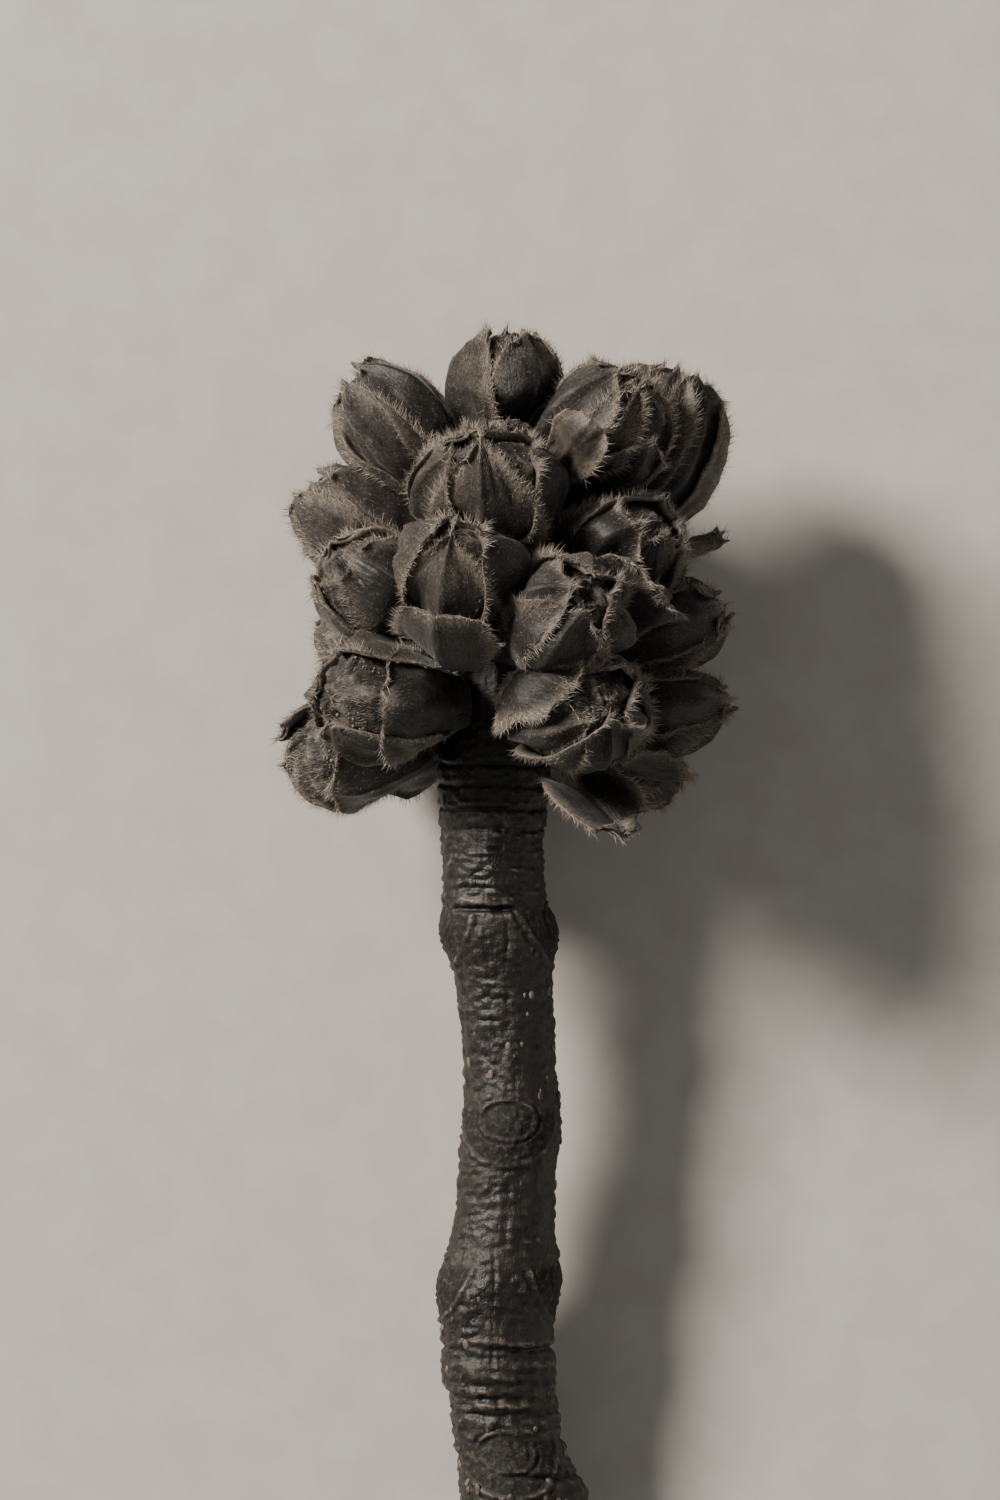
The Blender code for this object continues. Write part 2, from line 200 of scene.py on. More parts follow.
def write_mesh(name, sheet, materials, face_material=None):
    """One object at the origin from a closed sheet in millimetres, smooth, with its faces pointing out."""
    mesh = bpy.data.meshes.new(name)
    corners = np.concatenate([sheet.quads.ravel(), sheet.triangles.ravel()])
    sizes = np.concatenate([np.full(len(sheet.quads), 4), np.full(len(sheet.triangles), 3)])
    mesh.vertices.add(len(sheet.points))
    mesh.vertices.foreach_set("co", (sheet.points * MM).astype(np.float32).ravel())
    mesh.loops.add(len(corners))
    mesh.loops.foreach_set("vertex_index", corners.astype(np.int32))
    mesh.polygons.add(len(sizes))
    mesh.polygons.foreach_set("loop_start", (np.cumsum(sizes) - sizes).astype(np.int32))
    if face_material is not None:
        mesh.polygons.foreach_set("material_index", face_material.astype(np.int32))
    mesh.update(calc_edges=True)
    shape = bmesh.new()
    shape.from_mesh(mesh)
    bmesh.ops.recalc_face_normals(shape, faces=shape.faces)
    shape.to_mesh(mesh)
    shape.free()
    for value_name, values in sheet.values.items():
        vector = values.ndim == 2
        kind = "FLOAT_VECTOR" if vector else "FLOAT"
        attribute = mesh.attributes.new(value_name, kind, "POINT")
        attribute.data.foreach_set("vector" if vector else "value", values.astype(np.float32).ravel())
    for material in materials:
        mesh.materials.append(material)
    mesh.shade_smooth()
    obj = bpy.data.objects.new(name, mesh)
    bpy.context.scene.collection.objects.link(obj)
    return obj


# %% [markdown]
# Materials and Geometry Nodes trees are both built from nodes. One helper adds a node with its settings and
# links, whatever its kind, and another turns a hex colour, as a paint chart gives it, into the linear values
# that the renderer works in. All patterns here read the piece's own object coordinates, which are metres, or
# values stored on its points. A noise node's scale is one over the size of its lumps, so sizes are written
# in millimetres and divided into PER_METRE.

# %% Helpers for materials
def linear(hex_colour):
    """An sRGB hex colour as linear red, green, blue and alpha."""
    channels = [int(hex_colour[k : k + 2], 16) / 255 for k in (1, 3, 5)]
    return (*[c / 12.92 if c <= 0.04045 else ((c + 0.055) / 1.055) ** 2.4 for c in channels], 1.0)


def feed(tree, node, **inputs):
    """Sets or links a node's inputs.

    An input is a value, another node's output, or a node, which stands for its first output in use. A number
    in the input's name picks it by place.
    """
    for key, value in inputs.items():
        socket = node.inputs[int(key[1:]) if key[1:].isdigit() else key.replace("_", " ")]
        if isinstance(value, bpy.types.Node):
            value = next(output for output in value.outputs if output.enabled)
        if isinstance(value, bpy.types.NodeSocket):
            tree.links.new(value, socket)
        else:
            socket.default_value = value
    return node


def add(tree, kind, settings=None, **inputs):
    """Adds a node with its settings and links."""
    node = tree.nodes.new(kind)
    for key, value in (settings or {}).items():
        setattr(node, key, value)
    return feed(tree, node, **inputs)


def new_material(name, **constants):
    """A material with an empty Principled shader, whose constant values are set on its own sockets."""
    material = bpy.data.materials.new(name)
    material.use_nodes = True
    tree = material.node_tree
    return material, tree, feed(tree, tree.nodes["Principled BSDF"], **constants)


PER_METRE = 1000.0  # millimetres in one unit of object coordinates
PLACE = "ShaderNodeTexCoord"
STORED = "ShaderNodeAttribute"
NOISE = "ShaderNodeTexNoise"
RANGE = "ShaderNodeMapRange"
MIX = "ShaderNodeMix"
MATH = "ShaderNodeMath"
BUMP = "ShaderNodeBump"
STEPPED = {"interpolation_type": "SMOOTHSTEP"}  # from 0 at From Min to 1 at From Max, and held there
COLOURS = {"data_type": "RGBA"}
TIMES = {"operation": "MULTIPLY"}
TIMES_HELD = {"operation": "MULTIPLY", "use_clamp": True}
PLUS = {"operation": "ADD"}

# %% [markdown]
# A maple twig's bark is thin and nearly matt in its second winter, grey-brown under a faint waxy gloss. The
# colour follows a value stored with the mesh: how far each place stands above or below its surroundings.
# Raised places are painted paler, partly wear and partly painted highlight, and places lower than their
# surroundings are painted near-black, the dark of real cracks together with painted shade in every hollow.
# Scars are dull cork. Fine ribs, 0.14 mm apart, run along the twig, so their noise reads coordinates that
# are stretched along it. Where the twig was cut, sapwood shows: pale, dry and matt, round a browner pith,
# with pores 0.12 mm apart.

# %% Bark
BARK_DARK = "#0e0c0b"
BARK_MIDDLE = "#26211d"
# Laid on raised places: partly the paler colour of wear, partly painted highlight.
BARK_PALE_WEAR_AND_HIGHLIGHT = "#6b6157"
BARK_LENTICEL = "#776c61"
SCAR_CORK = "#4a4139"
# Laid in the low places: the dark of real cracks together with painted shade in every hollow.
CRACK_AND_SHADE_BLACK = "#080706"
SAPWOOD_DARK = "#a8977c"
SAPWOOD_PALE = "#cfc0a4"
PITH_BROWN = "#8a7457"
CUT_BARK = "#3d332a"


def bark_material():
    material, tree, shader = new_material("maple_bark_second_year", Coat_Weight=0.06, Coat_Roughness=0.45)
    spot = add(tree, PLACE).outputs["Object"]
    around = add(tree, STORED, {"attribute_name": "ribs"}).outputs["Vector"]
    standing = add(tree, STORED, {"attribute_name": "standing"}).outputs["Fac"]
    scarred = add(tree, STORED, {"attribute_name": "scarred"}).outputs["Fac"]
    blotches = add(tree, NOISE, Vector=spot, Scale=PER_METRE / 1.4, Detail=3.0, Roughness=0.55)
    grain = add(tree, NOISE, Vector=spot, Scale=PER_METRE / 0.16, Detail=4.0, Roughness=0.55)
    ribs = add(tree, NOISE, Vector=around, Scale=1.0 / 0.14, Detail=3.0, Roughness=0.55)
    mottled = add(tree, RANGE, STEPPED, Value=blotches, From_Min=0.35, From_Max=0.65)
    body = add(tree, MIX, COLOURS, _0=mottled, _6=linear(BARK_DARK), _7=linear(BARK_MIDDLE))
    grained = add(tree, RANGE, STEPPED, Value=grain, From_Min=0.45, From_Max=0.75)
    body = add(tree, MIX, COLOURS, _0=grained, _6=body, _7=linear(BARK_MIDDLE))
    # Raised places are painted paler: partly wear, partly painted highlight.
    ridges = add(tree, RANGE, STEPPED, Value=standing, From_Min=0.3, From_Max=1.7)
    specks = add(tree, RANGE, STEPPED, Value=grain, From_Min=0.32, From_Max=0.62)
    worn = add(tree, MATH, TIMES, _0=ridges, _1=specks)
    body = add(tree, MIX, COLOURS, _0=worn, _6=body, _7=linear(BARK_PALE_WEAR_AND_HIGHLIGHT))
    corky = add(tree, RANGE, STEPPED, Value=grain, From_Min=0.5, From_Max=0.66)
    scar = add(tree, MIX, COLOURS, _0=corky, _6=linear(BARK_DARK), _7=linear(SCAR_CORK))
    scar_share = add(tree, MATH, TIMES, _0=scarred, _1=0.7)
    body = add(tree, MIX, COLOURS, _0=scar_share, _6=body, _7=scar)
    # Places lower than their surroundings are painted near-black: painted shade in every hollow, with the
    # dark of real cracks.
    sunken_shade = add(tree, RANGE, STEPPED, Value=standing, From_Min=-0.1, From_Max=-0.9)
    body = add(tree, MIX, COLOURS, _0=sunken_shade, _6=body, _7=linear(CRACK_AND_SHADE_BLACK))
    dull = add(tree, RANGE, Value=blotches, From_Min=0.3, From_Max=0.7, To_Min=0.4, To_Max=0.6)
    duller = add(tree, MATH, PLUS, _0=dull, _1=add(tree, MATH, TIMES, _0=scarred, _1=0.3))
    ribbed = add(tree, BUMP, Height=ribs, Distance=0.03 * MM, Strength=1.0)
    grainy = add(tree, BUMP, Height=grain, Distance=0.05 * MM, Strength=1.0, Normal=ribbed)
    feed(tree, shader, Base_Color=body, Roughness=duller, Normal=grainy)
    return material


def cut_wood_material():
    """Pale sapwood with its pores: rings read the value stored from the pith out to the bark."""
    material, tree, shader = new_material("maple_sapwood_cut", Roughness=0.75)
    spot = add(tree, PLACE).outputs["Object"]
    from_pith = add(tree, STORED, {"attribute_name": "from_pith"}).outputs["Fac"]
    fibres = add(tree, NOISE, Vector=spot, Scale=PER_METRE / 0.12, Detail=4.0, Roughness=0.55)
    pores = add(tree, RANGE, STEPPED, Value=fibres, From_Min=0.35, From_Max=0.7)
    wood = add(tree, MIX, COLOURS, _0=pores, _6=linear(SAPWOOD_DARK), _7=linear(SAPWOOD_PALE))
    pith = add(tree, RANGE, STEPPED, Value=from_pith, From_Min=0.2, From_Max=0.16)
    wood = add(tree, MIX, COLOURS, _0=pith, _6=wood, _7=linear(PITH_BROWN))
    rind = add(tree, RANGE, STEPPED, Value=from_pith, From_Min=0.86, From_Max=0.9)
    wood = add(tree, MIX, COLOURS, _0=rind, _6=wood, _7=linear(CUT_BARK))
    sawn = add(tree, BUMP, Height=fibres, Distance=0.04 * MM, Strength=1.0)
    feed(tree, shader, Base_Color=wood, Normal=sawn)
    return material


BARK = bark_material()
CUT_WOOD = cut_wood_material()

# %% [markdown]
# The twig's solid gives the girth in every direction, by rays from its own centre line. The rays are far
# apart and smoothed, so that the flat faces of the solid vanish but its swellings stay.

# %% The girth of the twig
RAY_ROWS = 125
RAY_TURNS = 56
FIRST_RAY = -BELOW_CLUSTER + 0.9  # clear of the slanted cut


def smoothed(field, rounds):
    """A field of rows and turns, averaged with its neighbours. Turns close on themselves."""
    for _ in range(rounds):
        field = (np.roll(field, 1, axis=1) + 2 * field + np.roll(field, -1, axis=1)) / 4
        padded = np.concatenate([field[:1], field, field[-1:]])
        field = (padded[:-2] + 2 * field + padded[2:]) / 4
    return field


def ways_round(turns):
    """Directions square to the twig, as (right, out): 0 degrees out, 90 right."""
    turns = np.radians(turns)
    return np.sin(turns)[..., None] * RIGHT + np.cos(turns)[..., None] * OUT


def measure_girth():
    """The rows measured, how far the middle drifts sideways at each, and the girth there all round."""
    tree = BVHTree.FromBMesh(twig_shape)
    rows = np.linspace(FIRST_RAY, SPUR_END - 0.35, RAY_ROWS)
    turns = np.arange(RAY_TURNS) * 360.0 / RAY_TURNS
    ways = np.broadcast_to(ways_round(turns), (RAY_ROWS, RAY_TURNS, 3))
    drift = np.zeros(RAY_ROWS)
    for _ in range(2):
        starts = place(np.broadcast_to(drift[:, None], ways.shape[:2]), rows[:, None], 0.0)
        girth = ray_lengths(tree, starts, ways)
        drift = drift + (girth * np.sin(np.radians(turns))).mean(axis=1)
    return rows, drift, smoothed(girth, 2)


girth_rows, girth_drift, girth_field = measure_girth()
print("twig radius from", round(girth_field.min(), 2), "to", round(girth_field.max(), 2), "mm")


def read_field(field, rows, at_rows, at_turns):
    """A measured field at other rows (in the units of rows) and turns (in degrees)."""
    row = np.interp(at_rows, rows, np.arange(len(rows)))
    low = np.clip(np.floor(row).astype(int), 0, len(rows) - 2)
    up = row - low
    column = np.mod(at_turns, 360.0) * field.shape[1] / 360.0
    left = np.floor(column).astype(int) % field.shape[1]
    over = column - np.floor(column)
    right = (left + 1) % field.shape[1]
    if field.ndim == 3:
        up, over = up[..., None], over[..., None]
    near = field[low, left] * (1 - over) + field[low, right] * over
    far = field[low + 1, left] * (1 - over) + field[low + 1, right] * over
    return near * (1 - up) + far * up


# %% [markdown]
# What makes the bark readable is its history. At each node a pair of leaves fell off and left a crescent
# scar with a corky rim, and above it the oval scar of a side bud. Where a winter bud once sat, its scales
# left a crowd of rings. Both follow rules, so they are drawn as heights on the sheet of bark: each is a
# small function of the place along the twig and the turn round it. A term such as 0.06 * noise(place_round,
# 1.6, 14) is 0.06 mm high with lumps 1.6 mm across, and numbers multiplied into place_round squeeze the
# lumps in that direction.

# %% The relief of the bark
LeafScar = namedtuple("LeafScar", "along facing")
LEAF_SCARS = (LeafScar(-5.7, 90.0), LeafScar(-12.3, 0.0), LeafScar(-17.5, 90.0), LeafScar(-23.3, 0.0))
RingZone = namedtuple("RingZone", "low high spacing depth seed")
RING_ZONES = (RingZone(-4.85, -2.2, 0.27, 0.11, 3), RingZone(-23.6, -19.6, 0.47, 0.15, 5))
Crack = namedtuple("Crack", "along depth width centre half_turn")
CRACKS = (
    Crack(-0.15, 0.12, 0.09, 0, 360),
    Crack(-0.83, 0.16, 0.08, 0, 360),
    Crack(-1.62, 0.13, 0.07, 10, 360),
    Crack(-2.3, 0.09, 0.06, -20, 360),
    Crack(-4.95, 0.26, 0.1, -18, 42),
    Crack(-4.95, 0.1, 0.08, 170, 60),
    Crack(-19.55, 0.2, 0.1, 30, 360),
    Crack(-23.75, 0.14, 0.09, 60, 70),
)
OVAL_HALF = (1.05, 0.68)  # half the width and height of a side bud's scar
OVAL_UP = 0.33  # how far its middle is above the leaf scar's
CRESCENT_HALF = (2.05, 1.8)
CRESCENT_UP = 0.63
BUNDLES = (-0.75, 0.0, 0.75)  # across: the three cut veins of the leaf


def turn_from(turns, facing):
    """The signed turn from a facing, -180 to 180 degrees."""
    return (turns - facing + 180.0) % 360.0 - 180.0


def leaf_scar_relief(scar, side, along, turns, girth, place_round):
    """One leaf scar under its bud scar. side is 0 or 180: the leaves stood in opposite pairs."""
    shift = 0.07 * noise(place_round, 0.6, int(scar.facing + side) + 40)
    across = np.radians(turn_from(turns, scar.facing + side)) * girth + shift
    up = along - scar.along + 0.6 * shift
    grain = rough(place_round, 0.16, 41)
    uneven = np.clip(0.6 + 0.7 * noise(place_round, 0.45, 42), 0.1, 1.1)
    oval = np.hypot(across / OVAL_HALF[0], (up - OVAL_UP) / OVAL_HALF[1])
    crescent = np.hypot(across / CRESCENT_HALF[0], (up - CRESCENT_UP) / CRESCENT_HALF[1])
    below = ease((0.8 - up) / 0.3)
    in_oval = ease((1.0 - oval) / 0.12)
    in_crescent = ease((1.0 - crescent) / 0.08) * below * (1.0 - in_oval)
    oval_line, crescent_line = (oval - 1.0) * 0.8, (crescent - 1.0) * 1.6
    worn = np.clip(0.7 + 0.8 * noise(place_round, 0.7, 43), 0.15, 1.0)
    rims = 0.05 * bump(oval_line, 0.05) * uneven - 0.07 * bump(oval_line - 0.11, 0.045) * worn
    rims += 0.035 * bump(oval_line - 0.2, 0.05) * uneven - 0.03 * bump(oval_line + 0.16, 0.04) * worn
    edge = 0.075 * bump(crescent_line, 0.07) * uneven - 0.07 * bump(crescent_line - 0.15, 0.06) * worn
    rims += below * (edge + 0.035 * bump(crescent_line + 0.2, 0.05) * uneven)
    bundles = sum(bump(np.hypot(across - x, up + 0.62 - 0.12 * x * x), 0.09) for x in BUNDLES)
    floor = -0.06 * in_oval - 0.035 * in_crescent + 0.045 * bundles * in_crescent
    here = np.maximum(in_oval, in_crescent)
    return rims + floor + 0.045 * grain * here, here


# %% [markdown]
# Bark wrinkles where an old bud's scales sat. The rings they left are nearly level, so each is a wave along
# the twig that noise makes waver and break. The deep cracks and the sutures are placed one at a time.

# %% Rings, cracks and sutures
def ring_relief(zone, along, place_round):
    """Rings left by the scales of an old bud: rounded ridges with narrow, broken grooves between them."""
    inside = ease((along - zone.low) / 0.5) * ease((zone.high - along) / 0.4)
    waver = 0.13 * noise(place_round * (1.0, 0.5, 1.0), 0.9, zone.seed)
    waver = waver + 0.5 * zone.spacing * noise(place_round * (0.25, 1.0, 0.25), 1.0, zone.seed + 1)
    phase = (along + waver) / zone.spacing
    ring = np.round(phase)
    strength = 0.65 + 0.35 * lattice_value(np.stack([ring.astype(int)] * 3, axis=-1))
    broken = np.clip(0.55 + 0.9 * noise(place_round * (1.0, 0.6, 1.0), 0.7, zone.seed + 2), 0.0, 1.0)
    minor = np.abs((phase * 2.3) % 1.0 - 0.5)
    swell = 0.3 * np.cos(2 * np.pi * (phase - ring)) * -1.0
    dots = np.maximum(0.0, noise(place_round, 0.17, zone.seed + 3) - 0.35)
    depth = swell - bump(phase - ring, 0.13) * strength * broken - 0.25 * bump(minor, 0.1) * (1.0 - broken)
    folds = 1.0 - 2.6 * np.abs(noise(place_round * (0.4, 1.0, 0.4), 1.5 * zone.spacing, zone.seed + 4))
    return inside * (zone.depth * (0.4 * depth + 0.45 * folds) + 0.07 * dots)


def crack_relief(crack, along, turns, waver, broken):
    """One deep crack round part of the twig or all of it, with a raised lip above it."""
    here = ease((crack.half_turn - np.abs(turn_from(turns, crack.centre))) / 12.0) * broken
    line = along - crack.along + waver
    lip = 0.22 * bump(line - 2.0 * crack.width, 1.4 * crack.width)
    return crack.depth * here * (lip - bump(line, crack.width))


Suture = namedtuple("Suture", "facing low high")
SUTURES = (
    Suture(5, -7.2, -5.0),
    Suture(-4, -21.8, -14.2),
    Suture(176, -12.0, -6.5),
    Suture(95, -16.0, -7.5),
)


def suture_relief(suture, along, turns, girth, place_round):
    """A fine groove that runs down the twig, where two leaves' strands of bark meet."""
    across = np.radians(turn_from(turns, suture.facing)) * girth + 0.24 * noise(place_round, 1.7, 51)
    here = ease((along - suture.low) / 0.9) * ease((suture.high - along) / 0.9)
    here = here * np.clip(0.45 + 1.1 * noise(place_round, 0.9, 52), 0.0, 1.0)
    return here * (0.02 * bump(np.abs(across) - 0.13, 0.08) - 0.06 * bump(across, 0.07))


# %% [markdown]
# The reliefs add up to one height. Rings nearly vanish on a scar, since it is smooth cork.

# %% The whole relief
def bark_relief(along, turns, girth):
    """Height of the bark above the measured girth, the share of it that is scar, and each point's place."""
    angle = np.radians(turns)
    around = np.broadcast_arrays(girth * np.sin(angle), along, girth * np.cos(angle))
    place_round = np.stack(around, axis=-1)
    broken = np.clip(0.75 + 0.6 * noise(place_round, 0.9, 12), 0.15, 1.0)
    waver = 0.09 * noise(place_round * (1.0, 0.0, 1.0), 1.1, 13) + 0.03 * noise(place_round, 0.3, 21)
    height = 0.06 * noise(place_round, 1.6, 14) + 0.03 * rough(place_round, 0.5, 15)
    height += 0.02 * noise(place_round * (5.0, 0.5, 5.0), 0.8, 16)  # ribs along the twig
    creased = ease(0.45 + 0.9 * noise(place_round, 1.7, 17))
    creases = noise(place_round * (0.8, 6.0, 0.8), 0.75, 18)
    creases = creases + 0.7 * noise(place_round * (1.5, 9.0, 1.5), 0.8, 22)
    height += 0.04 * creased * creases  # fine creases round it
    height += 0.025 * noise(place_round * (1.3, 2.4, 1.3), 0.5, 23)
    height += 0.045 * noise(place_round * (1.0, 1.6, 1.0), 0.24, 24)
    blisters = np.maximum(0.0, noise(place_round, 0.3, 19) - 0.45) * ease(1.5 * noise(place_round, 3.0, 20))
    height += 0.16 * blisters
    scarred = np.zeros_like(height)
    for scar in LEAF_SCARS:
        for side in (0.0, 180.0):
            relief, here = leaf_scar_relief(scar, side, along, turns, girth, place_round)
            height = height * (1.0 - 0.75 * here) + relief
            scarred = np.maximum(scarred, here)
    for zone in RING_ZONES:
        height += ring_relief(zone, along, place_round) * (1.0 - 0.85 * scarred)
    for crack in CRACKS:
        height += crack_relief(crack, along, turns, waver, broken)
    for suture in SUTURES:
        height += suture_relief(suture, along, turns, girth, place_round) * (1.0 - scarred)
    return height, scarred, place_round


# %% [markdown]
# The sheet of bark has a point every 0.07 mm below the cluster, and far fewer inside it, where only a dark
# gap between the buds shows it. The slanted cut is a second, flat sheet of rings from the rim to the pith.

# %% The twig
FINE_STEP = 0.072
COARSE_STEP = 0.35
TWIG_TURNS = 180
HIDDEN_ABOVE = 1.6  # along the twig, where the buds close over it
CUT_RINGS = 14
STANDING_FULL = 0.05  # mm above its surroundings that makes a place fully pale
STANDING_ROUNDS = 16  # of smoothing, for the surroundings that a place is compared with
SKIN_SPARE = 0.05  # the relief is drawn around the measured girth, less this


def standing_out(height):
    """How far each place stands above or below the ones around it."""
    return (height - smoothed(height, STANDING_ROUNDS)) / STANDING_FULL


def twig_sheets():
    """The bark, the cut face and the closed end as one sheet, and which of its faces are cut wood."""
    fine = np.arange(-BELOW_CLUSTER, HIDDEN_ABOVE, FINE_STEP)
    coarse = np.arange(HIDDEN_ABOVE, SPUR_END - 0.2, COARSE_STEP)
    along = np.concatenate([fine, coarse])[:, None]
    turns = (np.arange(TWIG_TURNS) * 360.0 / TWIG_TURNS)[None, :]
    girth = read_field(girth_field, girth_rows, *np.broadcast_arrays(along, turns))
    height, scarred, place_round = bark_relief(along, turns, girth)
    skin = girth - SKIN_SPARE + height
    skin = skin * np.sqrt(np.clip((SPUR_END - along) / 0.8, 0.02, 1.0))
    angle = np.radians(turns)
    drift = np.interp(along, girth_rows, girth_drift)
    out = skin * np.cos(angle)
    lean = CUT_SLOPE * ease((-BELOW_CLUSTER + 2.0 - along) / 2.0)
    points = place(drift + skin * np.sin(angle), along + lean * out, out)
    rows = len(along)
    pored = ease((-5.5 - along) / 1.0) * ease(0.5 + 1.6 * noise(place_round, 2.2, 31))
    bark_values = {
        "standing": standing_out(height),
        "from_pith": np.ones_like(height),
        "ribs": place_round * (1.0, 0.12, 1.0),
        "scarred": scarred,
        "studs": (1.0 - scarred) * pored,
    }
    share = np.linspace(1.0, 0.0, CUT_RINGS + 1)[1:-1, None]
    rim = points[0]
    middle = rim.mean(axis=0)
    dip = 0.05 * noise(rim, 0.5, 31) - 0.07 * bump(share, 0.14)
    face = middle + (rim - middle) * share[..., None] + dip[..., None] * -ALONG
    end_points = np.concatenate([face.reshape(-1, 3), middle[None]])
    top = place(0.0, SPUR_END, 0.0)[None]
    all_points = np.concatenate([points.reshape(-1, 3), end_points, top.reshape(1, 3)])
    first_face = rows * TWIG_TURNS
    quads = [grid_quads(rows, TWIG_TURNS, closed=True)]
    ring = np.arange(TWIG_TURNS)
    following = (ring + 1) % TWIG_TURNS
    quads.append(np.stack([following, ring, first_face + ring, first_face + following], axis=-1))
    quads.append(grid_quads(CUT_RINGS - 1, TWIG_TURNS, closed=True, first=first_face))
    centre, last_ring = len(all_points) - 2, first_face + (CUT_RINGS - 2) * TWIG_TURNS
    tip_ring = (rows - 1) * TWIG_TURNS
    triangles = np.concatenate(
        [
            np.stack([last_ring + following, last_ring + ring, np.full(TWIG_TURNS, centre)], axis=-1),
            np.stack([tip_ring + ring, tip_ring + following, np.full(TWIG_TURNS, centre + 1)], axis=-1),
        ]
    )
    extra = len(end_points) + 1
    values = {}
    for name, value in bark_values.items():
        flat = value.reshape(first_face, -1) if value.ndim == 3 else value.reshape(first_face)
        values[name] = np.concatenate([flat, np.zeros((extra, *flat.shape[1:]))])
    values["from_pith"][first_face:-2] = np.broadcast_to(share, face.shape[:2]).ravel()
    face_material = np.concatenate([np.zeros(len(quads[0])), np.ones(len(quads[1]) + len(quads[2]))])
    face_material = np.concatenate([face_material, np.ones(TWIG_TURNS), np.zeros(TWIG_TURNS)])
    return Sheet(all_points, np.concatenate(quads), triangles, values), face_material


# %% [markdown]
# Every piece is handed over in the same way: the body it rides on and the solids it stands for.

# %% The twig's piece
def finish_piece(piece, slot, *nodes):
    """The piece rides on the one body and stands for its nodes. slot is not used."""
    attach(piece, "root")
    if nodes:
        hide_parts(*nodes)
    return piece


twig_sheet, twig_faces = twig_sheets()
twig_piece = write_mesh("twig_bark_and_cut_end", twig_sheet, [BARK, CUT_WOOD], twig_faces)
print("twig:", len(twig_sheet.points), "points")


# %% [markdown]
# A flower bud is a stack of pairs of scales. Each pair stands a quarter turn from the last, the outer ones
# are short and the inner ones reach the tip. To lay scales on a bud, its solid is read as a form: an axis
# from its seat on the twig to its tip, and the girth round that axis, by rays from the axis to the solid.
# The neighbours' pressure is in the solid, so it shows in every scale. Places on the form are given by q,
# the share of the way over its skin from seat to tip, and by the turn round its axis. Turn 0 faces the
# twig's end.

# %% The form of a bud
FORM_ROWS = 34
FORM_TURNS = 48
SKIN_ROWS = 44
SKIN_TURNS = 72
STANDS_UP = 0.3  # a bud's axis this near to the twig's, as a sine, takes its turns from OUT instead
SHOULDER = 0.5  # q above which a scale that holds itself straight leaves the bud's dome


def from_twig(point):
    """How far a point is from the line of the twig."""
    away = point - FOOT
    return np.linalg.norm(away - np.dot(away, ALONG) * ALONG)


